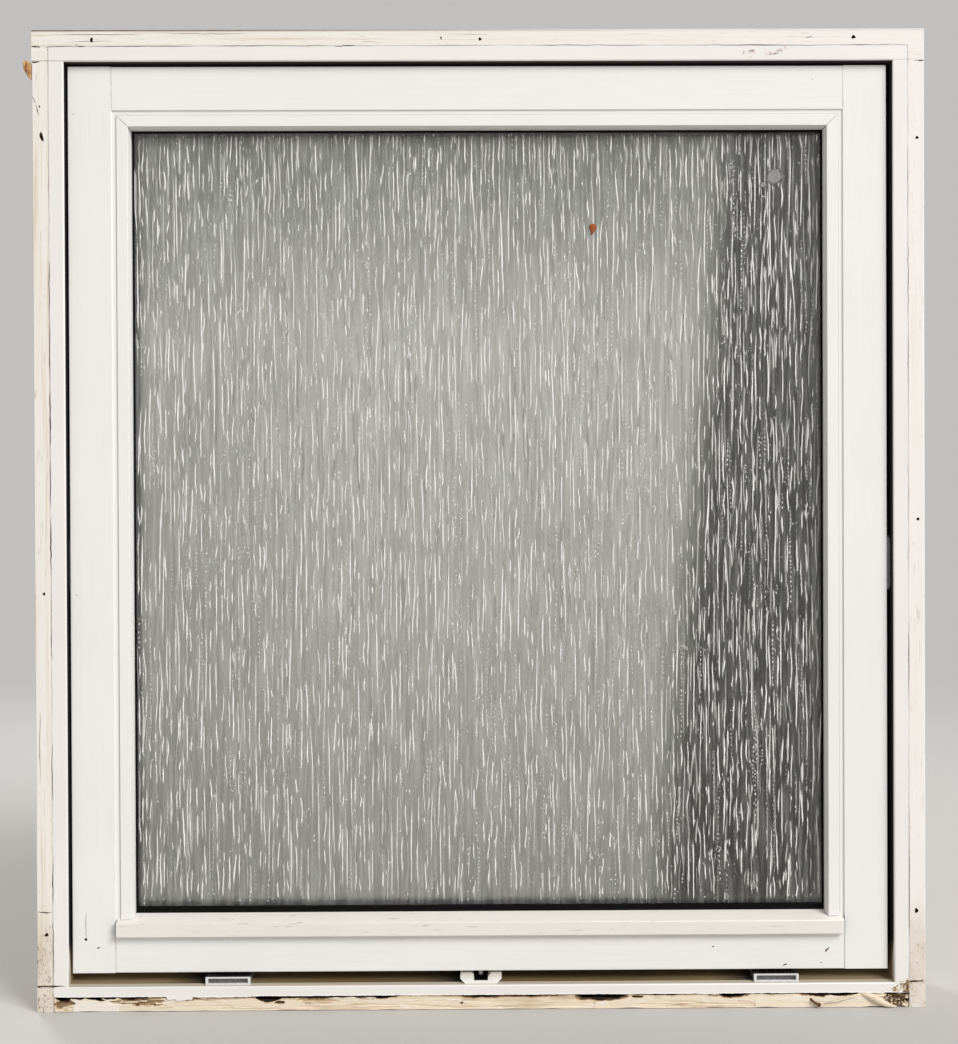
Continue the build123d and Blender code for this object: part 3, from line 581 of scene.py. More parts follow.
# Loose ribbon: a curled ribbon of veneer hangs in two limbs from under the paint near the right end.
# Each limb is x, y and z of its middle line and half its width.
points, faces = [], []
for spine in (((0.4190, -0.0568, 0.0160, 0.0012), (0.4262, -0.0578, 0.0146, 0.0028),
               (0.4330, -0.0586, 0.0120, 0.0039), (0.4392, -0.0592, 0.0090, 0.0041),
               (0.4446, -0.0598, 0.0062, 0.0036), (0.4500, -0.0602, 0.0039, 0.0027),
               (0.4556, -0.0602, 0.0024, 0.0016), (0.4604, -0.0594, 0.0014, 0.0007)),
              ((0.4225, -0.0570, 0.0152, 0.0010), (0.4130, -0.0581, 0.0128, 0.0013),
               (0.4030, -0.0586, 0.0100, 0.0012), (0.3930, -0.0586, 0.0072, 0.0010),
               (0.3812, -0.0572, 0.0045, 0.0004))):
    first, last = len(points), len(spine) - 1
    for k, (x, y, z, half_wide) in enumerate(spine):
        ahead, behind = spine[min(k + 1, last)], spine[max(k - 1, 0)]
        run = Vector((ahead[0] - behind[0], 0, ahead[2] - behind[2])).normalized()
        for skin in (0.0, 0.0005):
            for s, lift in ((-1, 0.0002), (0, -0.0003), (1, 0.0002)):
                points.append((x - s * half_wide * run.z, y + lift + skin,
                               max(0.0004, z + s * half_wide * run.x)))
    for k in range(last):
        a, b = first + 6 * k, first + 6 * k + 6
        faces += [(a, a + 1, b + 1, b), (a + 1, a + 2, b + 2, b + 1), (a + 3, b + 3, b + 4, a + 4),
                  (a + 4, b + 4, b + 5, a + 5), (a, b, b + 3, a + 3), (a + 2, a + 5, b + 5, b + 2)]
    a, end = first, first + 6 * last
    faces += [(a, a + 3, a + 4, a + 1), (a + 1, a + 4, a + 5, a + 2),
              (end, end + 1, end + 4, end + 3), (end + 1, end + 2, end + 5, end + 4)]
mesh_piece("sill_loose_ribbon", points, faces, bare_pine, "painted_pine", smooth=True,
           tear_height=[0.46] * len(points))

# Bent nail: one of the steel nails that held the torn-off strip is left near its right end, bent over
# and rusted through its plating. Its shank and head are rings at x, y and z with a radius.
rusted, tree, place = surface("rusted_steel_nail", Roughness=0.75)
scale = add(tree, "TexNoise", {"Vector": place, "Scale": 1 / 0.0014, "Detail": 3})
wire(tree, Base_Color=add(tree, "Mix", (scale, "#1C0D07", "#7A4418")))
points, faces = [], []
bends = ((0.3652, -0.0530, 0.0100, 0.0013), (0.3656, -0.0564, 0.0098, 0.0013),
         (0.3670, -0.0582, 0.0084, 0.0013), (0.3702, -0.0587, 0.0060, 0.0013),
         (0.3732, -0.0586, 0.0043, 0.0013), (0.3744, -0.0584, 0.0037, 0.0024),
         (0.3756, -0.0582, 0.0031, 0.0022))
turns, last = 10, len(bends) - 1
for k, (x, y, z, radius) in enumerate(bends):
    ahead, behind = bends[min(k + 1, last)], bends[max(k - 1, 0)]
    run = (Vector(ahead[:3]) - Vector(behind[:3])).normalized()
    side = run.cross(Vector((0.3, 0.2, 1.0))).normalized()
    for a in range(turns):
        spoke = side * math.cos(a * math.tau / turns) + run.cross(side) * math.sin(a * math.tau / turns)
        points.append(tuple(Vector((x, y, z)) + spoke * radius))
for k in range(last):
    for a in range(turns):
        n = (a + 1) % turns
        faces.append((k * turns + a, k * turns + n, (k + 1) * turns + n, (k + 1) * turns + a))
faces += [tuple(range(turns - 1, -1, -1)), tuple(last * turns + a for a in range(turns))]
mesh_piece("sill_bent_nail", points, faces, rusted, "zinc_steel")

# Jamb splinter: a stout chip of resinous pine stands out from the left jamb near the top, where the
# casing was levered off. It is freshly torn, so it is warm and streaked along its leaning grain.
raw_shard, tree, place = surface("resinous_pine_shard", Roughness=0.7, Specular_IOR_Level=0.3)
fibre = add(tree, "Mapping", {"Vector": place, "Rotation": (0, 0.45, 0),
                              "Scale": (1 / 0.0016, 1 / 0.002, 1 / 0.012)})
fibres = add(tree, "TexNoise", {"Vector": fibre, "Scale": 1, "Detail": 3})
wire(tree, Base_Color=add(tree, "ValToRGB", (fibres,), stops=((0.36, "#8A5526"), (0.62, "#E3B983"))))
points, faces = [], []
chip_outline = ((-0.5046, 1.0540), (-0.5020, 1.0549), (-0.4994, 1.0547), (-0.4965, 1.0525),
                (-0.4930, 1.0496), (-0.4925, 1.0440), (-0.4928, 1.0378), (-0.4957, 1.0340),
                (-0.4985, 1.0368), (-0.5010, 1.0410), (-0.5032, 1.0452), (-0.5042, 1.0500))
turns = len(chip_outline)
middle = (-0.4985, 1.0450)
for y, grow in ((-0.0555, 0.82), (-0.0547, 1.0), (-0.0520, 1.0), (-0.0512, 0.85)):
    points += [(middle[0] + (x - middle[0]) * grow, y + 0.0005 * math.sin(900 * z),
                middle[1] + (z - middle[1]) * grow) for x, z in chip_outline]
for layer in range(3):
    a = layer * turns
    faces += [(a + k, a + turns + k, a + turns + (k + 1) % turns, a + (k + 1) % turns)
              for k in range(turns)]
points += [(middle[0], -0.0561, middle[1]), (middle[0], -0.0510, middle[1])]
faces += [(4 * turns, k, (k + 1) % turns) for k in range(turns)]
faces += [(4 * turns + 1, 3 * turns + (k + 1) % turns, 3 * turns + k) for k in range(turns)]
mesh_piece("jamb_splinter", points, faces, raw_shard, "painted_pine")

# Weatherstrips, gaskets, edge seal and setting blocks: extruded black EPDM, matt with a fine bloom,
# pressed into the frame stops, round both faces of the glass unit and under its lower edge.
rubber, tree, place = surface("extruded_black_epdm", Specular_IOR_Level=0.1)
bloom = add(tree, "TexNoise", {"Vector": place, "Scale": 1 / 0.006, "Detail": 4})
wire(tree, Base_Color=add(tree, "Mix", (bloom, "#020202", "#0E0E0D")),
     Roughness=add(tree, "MapRange", (bloom, 0, 1, 0.5, 0.75)))
for name in ("left_weatherstrip", "right_weatherstrip", "top_weatherstrip", "bottom_weatherstrip",
             "outer_gasket", "inner_gasket", "edge_seal", "left_setting_block", "right_setting_block"):
    dress(node[name], rubber)

# Sash: full-height stiles with the rails scribed between them, pine under several coats of the same
# satin white. It hangs a little left of the frame's middle. A hair of bare joint shows as a fine line
# where each rail meets its stile.
sash_left, sash_middle = 0.0014, 0.545
rail_end, rail_inner = 0.4069, 0.4580
bead_edge, bead_top, mitre_rise, dust_and_shade_from = 0.4014, 0.9955, 0.5941, 0.1035
sash_paint = {}
for along, lie in (("X", "level"), ("Z", "upright")):
    sash_paint[along], tree, place, coat = satin_paint(
        "satin_white_paint_" + lie, along, "#F4F3EF", "#ECEAE6")
    x, y, z = add(tree, "SeparateXYZ", (place,), None)
    centred = add(tree, "Math", (x, sash_left), operation="ADD")
    side = add(tree, "Math", (centred,), operation="ABSOLUTE")
    off = add(tree, "Math", (side, rail_end), operation="SUBTRACT")
    off = add(tree, "Math", (off,), operation="ABSOLUTE")
    joint = add(tree, "MapRange", (off, 0.0002, 0.0008, 0.5, 0))
    height = add(tree, "Math", (z, sash_middle), operation="SUBTRACT")
    height = add(tree, "Math", (height,), operation="ABSOLUTE")
    at_rail = add(tree, "MapRange", (height, rail_inner, rail_inner + 0.001))
    dirt = add(tree, "Math", (joint, at_rail), operation="MULTIPLY")
    # The beads are mitred at the top corners.
    mitre = add(tree, "Math", (z, side), operation="SUBTRACT")
    mitre = add(tree, "Math", (mitre, mitre_rise), operation="SUBTRACT")
    mitre = add(tree, "Math", (mitre,), operation="ABSOLUTE")
    mitre = add(tree, "MapRange", (mitre, 0.0002, 0.0008, 0.8, 0))
    on_bead = add(tree, "MapRange", (side, bead_edge - 0.0001, bead_edge + 0.0003, 1, 0))
    mitre = add(tree, "Math", (mitre, on_bead), operation="MULTIPLY")
    dirt = add(tree, "Math", (dirt, mitre), operation="MAXIMUM")
    broken = add(tree, "TexNoise", {"Vector": place, "Scale": 1 / 0.011, "Detail": 3})
    opened = add(tree, "MapRange", (broken, 0.40, 0.58, 0.5, 1))
    dirt = add(tree, "Math", (dirt, opened), operation="MULTIPLY")
    # A dark line is painted in the sunk strip close against the beads' outer edges, partly dust and partly
    # painted shade of the crease.
    out = add(tree, "Math", (side, bead_edge), operation="SUBTRACT")
    over = add(tree, "Math", (z, bead_top), operation="SUBTRACT")
    out = add(tree, "Math", (out, over), operation="MAXIMUM")
    dust_and_shade = add(tree, "MapRange", (out, 0.0003, 0.0014, 0.42, 0))
    sunk = add(tree, "Math", (out, 0), operation="GREATER_THAN")
    above = add(tree, "Math", (z, dust_and_shade_from), operation="GREATER_THAN")
    for mask in (sunk, above):
        dust_and_shade = add(tree, "Math", (dust_and_shade, mask), operation="MULTIPLY")
    dirt = add(tree, "Math", (dirt, dust_and_shade), operation="MAXIMUM")
    wire(tree, Base_Color=add(tree, "Mix", (dirt, coat, "#6A6058")))
for name, along in (("sash_right_stile", "Z"), ("sash_top_rail", "X"), ("left_glazing_bead", "Z"),
                    ("right_glazing_bead", "Z"), ("top_glazing_bead", "X")):
    dress(node[name], sash_paint[along], 0.00045)

# Bottom bead: it takes the weather, so its paint has yellowed and chalked more than the rest, and its end
# grain has gone dark in the open joints.
bead_end = 0.4055
chalked, tree, place, coat = satin_paint("chalked_white_paint", "X", "#F0ECE6", "#E6E0D8")
rub = add(tree, "Mapping", {"Vector": place, "Scale": (1 / 0.022, 1 / 0.005, 1 / 0.003)})
rubbed = add(tree, "TexNoise", {"Vector": rub, "Scale": 1, "Detail": 4})
scuffed = add(tree, "MapRange", (rubbed, 0.64, 0.74, 0, 0.5))
x, y, z = add(tree, "SeparateXYZ", (place,), None)
centred = add(tree, "Math", (x, sash_left), operation="ADD")
side = add(tree, "Math", (centred,), operation="ABSOLUTE")
end_grain = add(tree, "MapRange", (side, bead_end - 0.0008, bead_end))
for mask, colour in ((scuffed, "#A39C92"), (end_grain, "#2A211C")):
    coat = add(tree, "Mix", (mask, coat, colour))
wire(tree, Base_Color=coat)
dress(node["bottom_glazing_bead"], chalked, 0.0004)


# Knocks in the sash: a screw hole low on the left stile has split the wood above it, and a few nicks in
# the stile and the bottom rail go through to the wood. Elsewhere only flakes of the top coat are gone,
# and the grimy grey undercoat shows.
def chip(points, faces, x, y, z, wide, high, rng, ragged=0.25):
    """Adds a shallow scab of broken paint, more or less ragged, on a face towards the outside."""
    first, turns = len(points), 11
    points.append((x, y - 0.0002, z))
    for ring, lift in ((0.55, 0.0003), (1.0, -0.00005)):
        for a in range(turns):
            r = ring * rng.uniform(1 - 1.4 * ragged, 1 + 0.6 * ragged)
            points.append((x + wide / 2 * r * math.cos(a * math.tau / turns), y - lift,
                           z + high / 2 * r * math.sin(a * math.tau / turns)))
    for a in range(turns):
        n = (a + 1) % turns
        faces.append((first, first + 1 + n, first + 1 + a))
        faces.append((first + 1 + a, first + 1 + n, first + 1 + turns + n, first + 1 + turns + a))
    faces.append(tuple(first + 1 + turns + a for a in range(turns)))


rng = random.Random(17)
cut_wear("sash_left_stile", sash_paint["Z"], raw_inside,
         [(-0.4416, 0.0786, 0.0032, 0.0032, 0.0, 0.008), (-0.4277, 0.0691, 0.0040, 0.0013, 0.2, 0.0012)],
         [((-0.4416, 0.0790), (-0.4414, 0.1093), 0.0007, 0.004)], rng)
cut_wear("sash_bottom_rail", sash_paint["X"], raw_inside,
         [(0.3858, 0.0625, 0.0068, 0.0017, 0.8, 0.0008), (0.3387, 0.0460, 0.0048, 0.0015, 0.4, 0.0012),
          (0.2582, 0.0667, 0.0026, 0.0012, 0.1, 0.0010), (0.3791, 0.0480, 0.0013, 0.0013, 0.0, 0.0010)],
         [], rng)
undercoat, tree, place = surface("broken_paint_undercoat", Roughness=0.8)
grime = add(tree, "TexNoise", {"Vector": place, "Scale": 1 / 0.0012, "Detail": 3})
wire(tree, Base_Color=add(tree, "Mix", (grime, "#8F8880", "#CFC8BE")))
rng = random.Random(3)
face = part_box("sash_left_stile")[0].y
points, faces = [], []
for x, z, wide, high in ((-0.4493, 0.4629, 0.0030, 0.0012), (-0.4500, 0.9970, 0.0020, 0.0014),
                         (0.3721, 1.0341, 0.0016, 0.0016)):
    chip(points, faces, x, face, z, wide, high, rng)
mesh_piece("sash_paint_chips", points, faces, undercoat, "painted_pine")

# Peeled patch: high on the right of the head the white coat has blistered off in flakes some 10 mm
# across, and the pinkish coat under it shows with a grey broken edge.
blister, tree, place = surface("pink_under_paint", Roughness=0.75)
bruise = add(tree, "TexNoise", {"Vector": place, "Scale": 1 / 0.0035, "Detail": 4})
wire(tree, Base_Color=add(tree, "ValToRGB", (bruise,), stops=((0.34, "#9B8A82"), (0.54, "#EADFDA"))))
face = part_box("frame_head")[0].y
points, faces = [], []
for x, z, wide, high in ((0.2950, 1.0610, 0.0060, 0.0042), (0.3035, 1.0625, 0.0124, 0.0052),
                         (0.3015, 1.0566, 0.0026, 0.0020), (0.3235, 1.0606, 0.0196, 0.0060),
                         (0.3340, 1.0636, 0.0110, 0.0050), (0.3402, 1.0668, 0.0052, 0.0050)):
    chip(points, faces, x, face, z, wide, high, rng)
mesh_piece("head_peeled_patch", points, faces, blister, "painted_pine")

# Spacer: a hollow bar of mill aluminium between the panes, hidden under the beads but for a glint.
mill, tree, place = surface("mill_aluminium_bar", Metallic=1.0)
drawn = add(tree, "TexNoise", {"Vector": place, "Scale": 1 / 0.002, "Detail": 2})
wire(tree, Base_Color=add(tree, "Mix", (drawn, "#B9BBBD", "#D0D2D3")),
     Roughness=add(tree, "MapRange", (drawn, 0, 1, 0.3, 0.45)))
dress(node["spacer_bar"], mill)

# Patterned pane: 4 mm rolled obscure glass, near neutral. The roller left a slack, upright ripple some
# 5 mm wide that blurs what is behind it and is milkier along its crests.
frost, tree, place = surface("rolled_obscure_glass", IOR=1.5)
rolled = add(tree, "Mapping", {"Vector": place, "Scale": (1 / 0.0042, 1, 1 / 0.085)})
ripple = add(tree, "TexNoise", {"Vector": rolled, "Scale": 1, "Detail": 3, "Distortion": 0.3})
cloud = add(tree, "TexNoise", {"Vector": place, "Scale": 1 / 0.12, "Detail": 2})
pale = add(tree, "MapRange", (ripple, 0.44, 0.62))
tone = add(tree, "Mix", (pale, "#DCDCD7", "#EEEEEA"))
shade = add(tree, "MapRange", (cloud, 0, 1, 0.9, 1.05))
wire(tree, Base_Color=add(tree, "Mix", (1, tone, shade), blend_type="MULTIPLY"),
     Roughness=add(tree, "MapRange", (ripple, 0, 1, 0.3, 0.5)),
     Transmission_Weight=add(tree, "MapRange", (pale, 0, 1, 0.992, 0.925)),
     Normal=add(tree, "Bump", {"Height": ripple, "Strength": 0.35, "Distance": 0.0008}))
dress(node["patterned_pane"], frost)

# Streaks: the roller's fine upright cords, rain-like ridges 1 to 2 mm wide standing a fraction of a
# millimetre from the outer face, in broken columns about 5 mm apart, some of them strings of beads.
# The ridges are painted white as painted glints, the brightest whole and opaque, the faint ones half clear.
cord_glass, tree, place = surface("glass_ridges_painted_as_glints", IOR=1.5)
painted_glint = add(tree, "Attribute", out="Fac", attribute_name="brightness")
wire(tree, Base_Color=add(tree, "Mix", (painted_glint, "#BFC0BB", "#FCFCFA")),
     Transmission_Weight=add(tree, "MapRange", (painted_glint, 0, 0.8, 0.4, 0)),
     Roughness=add(tree, "MapRange", (painted_glint, 0, 1, 0.35, 0.22)))

pane_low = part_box("patterned_pane")[0]
gasket_low, gasket_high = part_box("outer_gasket")
gasket_wide = 0.0132
glass_left, glass_right = gasket_low.x + gasket_wide, gasket_high.x - gasket_wide
glass_low, glass_high = gasket_low.z + gasket_wide, gasket_high.z - gasket_wide
seat = pane_low.y + 0.00006


def ridge(points, faces, bright, x, z, length, wide, high, lean, rng, light):
    """Adds one closed ridge from z upwards, wandering a little and tapering to a point at both ends."""
    steps = max(2, min(9, int(length / 0.006) + 1))
    first = len(points)
    bow, phase = rng.uniform(0, 0.0010), rng.uniform(0, math.tau)
    points.append((x, seat, z))
    for i in range(1, steps):
        t = i / steps
        swell = math.sin(math.pi * t) ** 0.2 * rng.uniform(0.72, 1.15)
        cx = x + lean * length * t + bow * math.sin(phase + 5.0 * t) + rng.uniform(-1, 1) * 0.00022
        cz = z + length * t
        w = wide / 2 * swell
        points.extend([(cx - w, seat, cz), (cx, seat - high * swell, cz), (cx + w, seat, cz)])
    points.append((x + lean * length, seat, z + length))
    tip = len(points) - 1
    a, b = first + 1, tip - 3
    faces.extend([(first, a + 1, a), (first, a + 2, a + 1), (first, a, a + 2),
                  (tip, b, b + 1), (tip, b + 1, b + 2), (tip, b + 2, b)])
    for i in range(steps - 2):
        p, q = first + 1 + 3 * i, first + 4 + 3 * i
        faces.extend([(p, p + 1, q + 1, q), (p + 1, p + 2, q + 2, q + 1), (p + 2, p, q, q + 2)])
    bright.extend([light] * (len(points) - first))


# Each kind has its share of the column's length, its least and greatest width and brightness, and how
# many loose specks and how many small tangles lie between its columns.
pitch, speck_high = 0.0050, 0.0002
rng = random.Random(41)
for name, share, thin, fat, low, high, specks, tangles in (
        ("glass_streaks", 0.66, 0.0012, 0.0019, 0.86, 1.0, 1500, 80),
        ("glass_faint_streaks", 0.62, 0.0010, 0.0026, 0.0, 0.45, 0, 0)):
    points, faces, bright = [], [], []
    column = glass_left + rng.uniform(0.2, 0.8) * pitch
    while column < glass_right - 0.001:
        z = glass_low + rng.uniform(-0.01, 0.02)
        while z < glass_high - 0.002:
            length = min(0.110, rng.lognormvariate(math.log(0.033), 0.62))
            length = min(max(length, 0.0035), glass_high - z)
            drift = 0.0016 * noise.noise(Vector((column * 900, z / 0.09, 4.0)))
            x = column + drift + rng.uniform(-1, 1) * 0.0006
            lean, wide, light = rng.gauss(0, 0.018), rng.uniform(thin, fat), rng.uniform(low, high)
            pieces = [(0.0, length)]
            if rng.random() < 0.14:
                pieces, start = [], 0.0
                while start < length - 0.0015:
                    bead = min(rng.uniform(0.0018, 0.0050), length - start)
                    pieces.append((start, bead))
                    start += bead + rng.uniform(0.0006, 0.0018)
            if glass_left + 0.001 < x < glass_right - 0.001 and z > glass_low and rng.random() < 0.96:
                for start, bead in pieces:
                    ridge(points, faces, bright, x + lean * start, z + start, bead, wide,
                          rng.uniform(0.00011, 0.00018), lean, rng, light)
            z += length + rng.expovariate(1) * 0.030 * (1 - share) / share + 0.0008
        column += pitch * rng.uniform(0.62, 1.38)
    for k in range(specks):
        x = rng.uniform(glass_left + 0.003, glass_right - 0.003)
        z = rng.uniform(glass_low + 0.003, glass_high - 0.006)
        ridge(points, faces, bright, x, z, rng.uniform(0.0012, 0.0032), rng.uniform(0.0010, 0.0018),
              speck_high, rng.uniform(-0.5, 0.5), rng, rng.uniform(0.8, 1.0))
    for k in range(tangles):
        cx = rng.uniform(glass_left + 0.015, glass_right - 0.015)
        cz = rng.uniform(glass_low + 0.02, glass_high - 0.03)
        for m in range(rng.randint(5, 10)):
            ridge(points, faces, bright, cx + rng.gauss(0, 0.004), cz + rng.gauss(0, 0.008),
                  rng.uniform(0.003, 0.009), rng.uniform(0.0008, 0.0014), speck_high,
                  rng.gauss(0, 0.35), rng, rng.uniform(0.5, 0.9))
    mesh_piece(name, points, faces, cord_glass, "patterned_glass", brightness=bright)

# Clear pane: 4 mm float glass on the room side, polished, with the faint green of its iron.
float_glass, tree, place = surface("clear_float_glass", IOR=1.52, Transmission_Weight=1.0)
haze = add(tree, "TexNoise", {"Vector": place, "Scale": 1 / 0.09, "Detail": 3})
wire(tree, Base_Color=add(tree, "Mix", (haze, "#EEF3F0", "#F8FAF8")),
     Roughness=add(tree, "MapRange", (haze, 0.4, 1, 0, 0.08)))
dress(node["clear_pane"], float_glass)

# Brown flake: a dry, curled, rust-brown flake stuck high on the right of the outer glass. Its outline is
# in millimetres about its middle, and its two skins meet at the rim.
flake_brown, tree, place = surface("dry_brown_flake", Roughness=0.75)
mottle = add(tree, "TexNoise", {"Vector": place, "Scale": 1 / 0.003, "Detail": 3})
wire(tree, Base_Color=add(tree, "Mix", (mottle, "#6E3312", "#B4602A")))
points, faces = [], []
outline = ((-4.2, 2.0), (-3.6, 4.8), (-1.2, 6.0), (1.8, 6.4), (4.2, 5.0), (4.6, 1.6), (3.2, -1.4),
           (1.2, -4.0), (-0.8, -6.6), (-2.0, -5.2), (-1.8, -2.2), (-3.4, -0.4))
turns = len(outline)
flake_x, flake_y, flake_z = 0.1276, pane_low.y - 0.0003, 0.8709
for lift in (0.0, 1.0):
    for ring in (1.0, 0.5):
        for u, v in outline:
            curl = 0.0007 * (1 - ring) + 0.0005 + 0.00008 * u * ring
            points.append((flake_x + u * ring / 1000, flake_y - curl * lift - 0.0001 * (1 - lift),
                           flake_z + v * ring / 1000))
    points.append((flake_x, flake_y - 0.0013 * lift, flake_z))
layer = 2 * turns + 1
for a in range(turns):
    n = (a + 1) % turns
    faces += [(a, turns + a, turns + n, n), (turns + a, 2 * turns, turns + n),
              (layer + a, layer + n, layer + turns + n, layer + turns + a),
              (layer + turns + a, layer + turns + n, layer + 2 * turns), (a, n, layer + n, layer + a)]
mesh_piece("brown_flake", points, faces, flake_brown, "patterned_glass", smooth=True)

# Whitewash dab: a round dab of old whitewash near the top corner of the outer glass, with a smaller one
# beside it, wiped so thin that the glass shows through.
whitewash, tree, place = surface("thin_whitewash_dab", Roughness=0.8, Alpha=0.5)
patch = add(tree, "TexNoise", {"Vector": place, "Scale": 1 / 0.002, "Detail": 3})
wire(tree, Base_Color=add(tree, "Mix", (patch, "#A3A1A1", "#C6C4C4")))
points, faces = [], []
rng = random.Random(8)
chip(points, faces, 0.3317, pane_low.y - 0.0004, 0.9293, 0.0196, 0.0190, rng, 0.07)
chip(points, faces, 0.3200, pane_low.y - 0.0004, 0.9204, 0.0090, 0.0064, rng, 0.15)
mesh_piece("whitewash_dab", points, faces, whitewash, "patterned_glass", smooth=True)

# Lifting blocks: clear injection-moulded polycarbonate wedges, screwed to the sill to carry the
# sash as it closes. Handling has hazed them, so the rims read white. The pocket is painted grey, partly
# dust and partly painted shade of the recess, and their level tops, close under the sash, are painted
# near black as painted shade.
block_face, block_top = -0.0541, 0.0368
hazed, tree, place = surface("hazed_clear_polycarbonate", IOR=1.58, Transmission_Weight=0.12)
scuff = add(tree, "TexNoise", {"Vector": place, "Scale": 1 / 0.004, "Detail": 4})
clouded = add(tree, "Mix", (scuff, "#DCDCDB", "#F6F6F5"))
drawn = add(tree, "Mapping", {"Vector": place, "Scale": (1 / 0.0016, 1 / 0.006, 1 / 0.012)})
dust_and_shade = add(tree, "TexNoise", {"Vector": drawn, "Scale": 1, "Detail": 3})
dusty_and_shaded = add(tree, "Mix", (dust_and_shade, "#5F5D5B", "#9A9895"))
x, y, z = add(tree, "SeparateXYZ", (place,), None)
pocket = add(tree, "MapRange", (y, block_face, block_face + 0.0021))
# Painted shade: the level top behind the front edge is painted near black.
level_top = add(tree, "Math", (z, block_top), operation="GREATER_THAN")
inward = add(tree, "MapRange", (y, block_face, block_face + 0.0009))
painted_top_shade = add(tree, "Math", (level_top, inward), operation="MULTIPLY")
for mask, colour in ((pocket, dusty_and_shaded), (painted_top_shade, "#1C1814")):
    clouded = add(tree, "Mix", (mask, clouded, colour))
wire(tree, Base_Color=clouded, Roughness=add(tree, "MapRange", (scuff, 0, 1, 0.15, 0.4)))
for name in ("left_lifting_block", "right_lifting_block"):
    dress(node[name], hazed, 0.0004)

# Centre keep: white moulded nylon with a forked slot for the lock pin. It is painted a darker, yellower
# grey towards its top and the slot near black from just behind its front, both painted shade under
# the sash.
slot_half, keep_face = 0.0079, -0.0533
nylon, tree, place = surface("moulded_white_nylon", Specular_IOR_Level=0.45, Subsurface_Weight=0.05)
flow = add(tree, "TexNoise", {"Vector": place, "Scale": 1 / 0.008, "Detail": 3})
ivory = add(tree, "Mix", (flow, "#F0EDE5", "#FAF9F5"))
x, y, z = add(tree, "SeparateXYZ", (place,), None)
# Painted shade: darker towards the top and black inside the slot.
shaded_towards_top = add(tree, "MapRange", (z, 0.0310, 0.0385, 0, 0.6))
centred = add(tree, "Math", (x, sash_left), operation="ADD")
side = add(tree, "Math", (centred,), operation="ABSOLUTE")
in_slot = add(tree, "Math", (side, slot_half), operation="LESS_THAN")
inward = add(tree, "MapRange", (y, keep_face, keep_face + 0.0009))
slot_shade = add(tree, "Math", (in_slot, inward), operation="MULTIPLY")
for mask, colour in ((shaded_towards_top, "#B5AA9B"), (slot_shade, "#0E0C0A")):
    ivory = add(tree, "Mix", (mask, ivory, colour))
wire(tree, Base_Color=ivory, Roughness=add(tree, "MapRange", (flow, 0, 1, 0.32, 0.48)))
dress(node["centre_keep"], nylon, 0.0004)

# Lock pin and hinge plates: zinc-plated steel gone dull, with a slightly blotched grey surface.
zinc, tree, place = surface("dull_zinc_plated_steel", Metallic=1.0)
spangle = add(tree, "TexVoronoi", {"Vector": place, "Scale": 1 / 0.003}, "Distance")
wire(tree, Base_Color=add(tree, "Mix", (spangle, "#8E8F90", "#BFC0C0")),
     Roughness=add(tree, "MapRange", (spangle, 0, 1, 0.3, 0.55)))
for name in ("lock_pin", "left_hinge_plate", "right_hinge_plate"):
    dress(node[name], zinc, 0.0004)

# Handle: die-cast rose and lever in satin anodised aluminium on the room side, brushed along the grip.
anodised, tree, place = surface("satin_anodised_aluminium", Metallic=1.0)
brush = with_grain(tree, place, "X", 0.0006, 0.03)
lines = add(tree, "TexNoise", {"Vector": brush, "Scale": 1, "Detail": 2})
wire(tree, Base_Color=add(tree, "Mix", (lines, "#BDBEC0", "#D3D4D5")),
     Roughness=add(tree, "MapRange", (lines, 0, 1, 0.28, 0.4)))
for name in ("handle_rose", "handle_lever"):
    dress(node[name], anodised)


# Floor: a pale seamless sweep that fades into the background a few metres out.
def staged(name, ring, material):
    """A flat sheet that isn't part of the window."""
    mesh = bpy.data.meshes.new(name)
    mesh.from_pydata(ring, [], [tuple(range(len(ring)))])
    mesh.materials.append(material)
    sheet = bpy.data.objects.new(name, mesh)
    bpy.context.scene.collection.objects.link(sheet)
    return sheet


sweep, tree, place = surface("pale_studio_floor", Base_Color=linear("#C2C0BD"), Roughness=0.9,
                             Specular_IOR_Level=0.1)
away = add(tree, "VectorMath", (place,), "Value", operation="LENGTH")
wire(tree, Alpha=add(tree, "MapRange", (away, 1.0, 3.6, 1, 0), interpolation_type="SMOOTHSTEP"))
staged("floor", [(4 * math.cos(a * math.tau / 64), 4 * math.sin(a * math.tau / 64), -0.0002)
                 for a in range(64)], sweep)
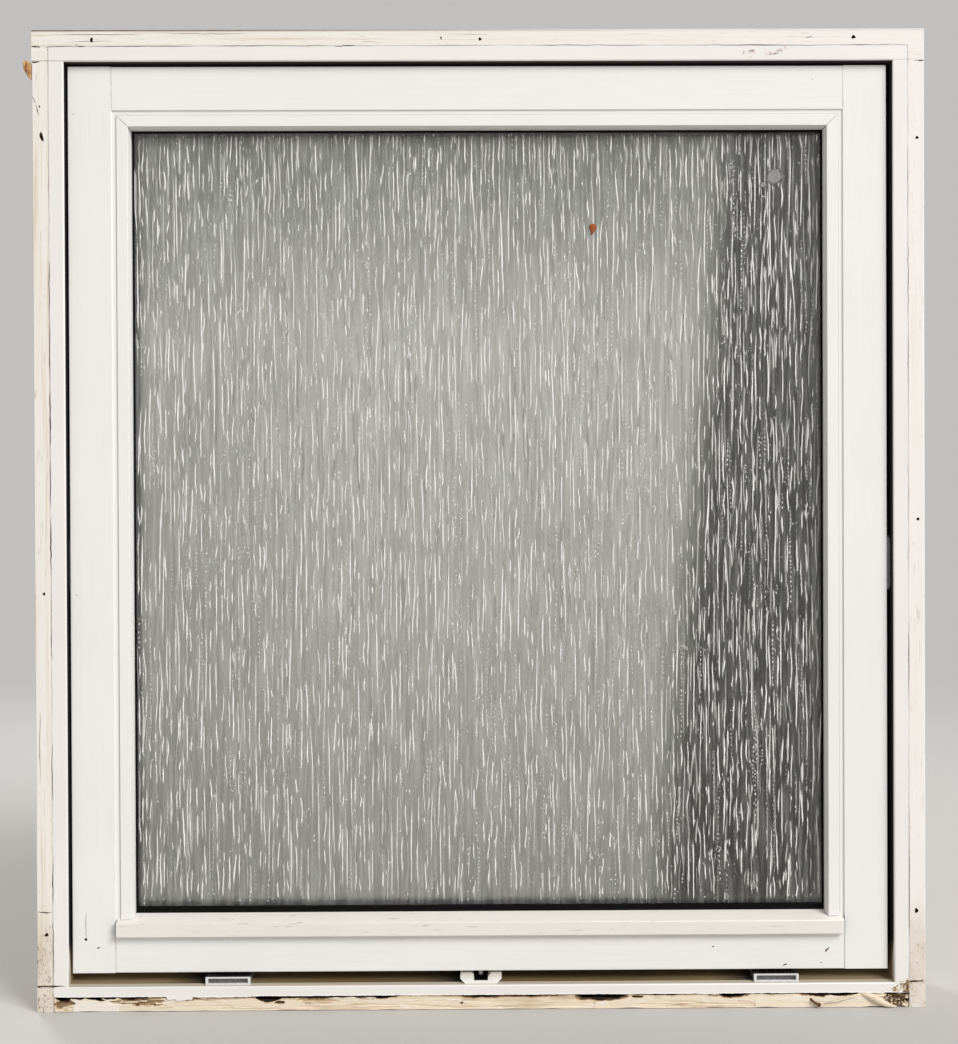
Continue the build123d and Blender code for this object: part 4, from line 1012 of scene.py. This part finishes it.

# Backdrop card: a grey card that glows, as painted light, set just behind the glass unit and seen
# only through the glass. Its glow is brightest three quarters up, fades to the foot, the top and the
# left, and gives way to a dark upright band on the right, a painted shadow of the frame.
card_light, tree, place = surface("glowing_grey_backdrop_card", Base_Color=(0, 0, 0, 1), Roughness=1.0,
                                  Specular_IOR_Level=0.0, Emission_Color=linear("#FFFCF7"))
x, y, z = add(tree, "SeparateXYZ", (place,), None)
up = add(tree, "MapRange", (z, glass_low, glass_high))
levels = ((0, 0.38), (1, 0.22), (0.075, 0.424), (0.26, 0.532), (0.45, 0.602), (0.64, 0.652),
          (0.75, 0.662), (0.83, 0.545), (0.92, 0.352))
shine = add(tree, "ValToRGB", (up,), stops=[(height, (level, level, level, 1)) for height, level in levels])
# The dark upright band on the right is a painted shadow.
past = add(tree, "Math", (z, -0.09, x), operation="MULTIPLY_ADD")
painted_shadow_band = add(tree, "MapRange", (past, 0.162, 0.220, 1, 0.04), interpolation_type="SMOOTHSTEP")
left = add(tree, "MapRange", (x, glass_left, -0.12, 0.78, 1), interpolation_type="SMOOTHSTEP")
painted_shadow_band = add(tree, "Math", (painted_shadow_band, left), operation="MULTIPLY")
wire(tree, Emission_Strength=add(tree, "Math", (shine, painted_shadow_band), operation="MULTIPLY"))
card_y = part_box("clear_pane")[1].y + 0.006
card = staged("backdrop_card", [(glass_left, card_y, glass_low), (glass_right, card_y, glass_low),
                                (glass_right, card_y, glass_high), (glass_left, card_y, glass_high)],
              card_light)
card.visible_camera = card.visible_diffuse = card.visible_glossy = card.visible_shadow = False

# Light: a broad soft lamp high on the right, far enough off that the light is even across the window, a
# smaller one behind for the room side, and an even grey surround.
for name, spot, size, power in (("key_lamp", (11.0, -11.3, 12.2), 8.5, 3220),
                                ("room_side_lamp", (-3.0, 4.5, 3.5), 1.6, 150)):
    lamp = bpy.data.lights.new(name, "AREA")
    lamp.size, lamp.energy = size, power
    holder = bpy.data.objects.new(name, lamp)
    aim = Vector((0, 0, 0.55)) - Vector(spot)
    holder.matrix_world = Matrix.Translation(spot) @ aim.to_track_quat("-Z", "Y").to_matrix().to_4x4()
    holder.visible_transmission = False
    bpy.context.scene.collection.objects.link(holder)
world = bpy.data.worlds.new("studio")
world.use_nodes = True
tree = world.node_tree
tree.nodes.clear()
grey = add(tree, "Background", ("#C2C0BF", 1.0))
add(tree, "OutputWorld", (grey,), None)
bpy.context.scene.world = world

# Camera: level with the middle of the window, square on, about a metre and a half away. Its focal
# length is 1443 pixels on an image 958 pixels wide.
camera = bpy.data.cameras.new("camera")
camera.sensor_fit, camera.sensor_width = "HORIZONTAL", 36.0
camera.lens = 36.0 * 1443 / 958
camera.clip_start = 0.05
eye = bpy.data.objects.new("camera", camera)
eye.location = (-0.0118, -1.6578, 0.5536)
eye.rotation_euler = (math.pi / 2 - 0.0070, 0.0040, -0.0064)
bpy.context.scene.collection.objects.link(eye)
bpy.context.scene.camera = eye
bpy.context.scene.view_settings.view_transform = "Standard"
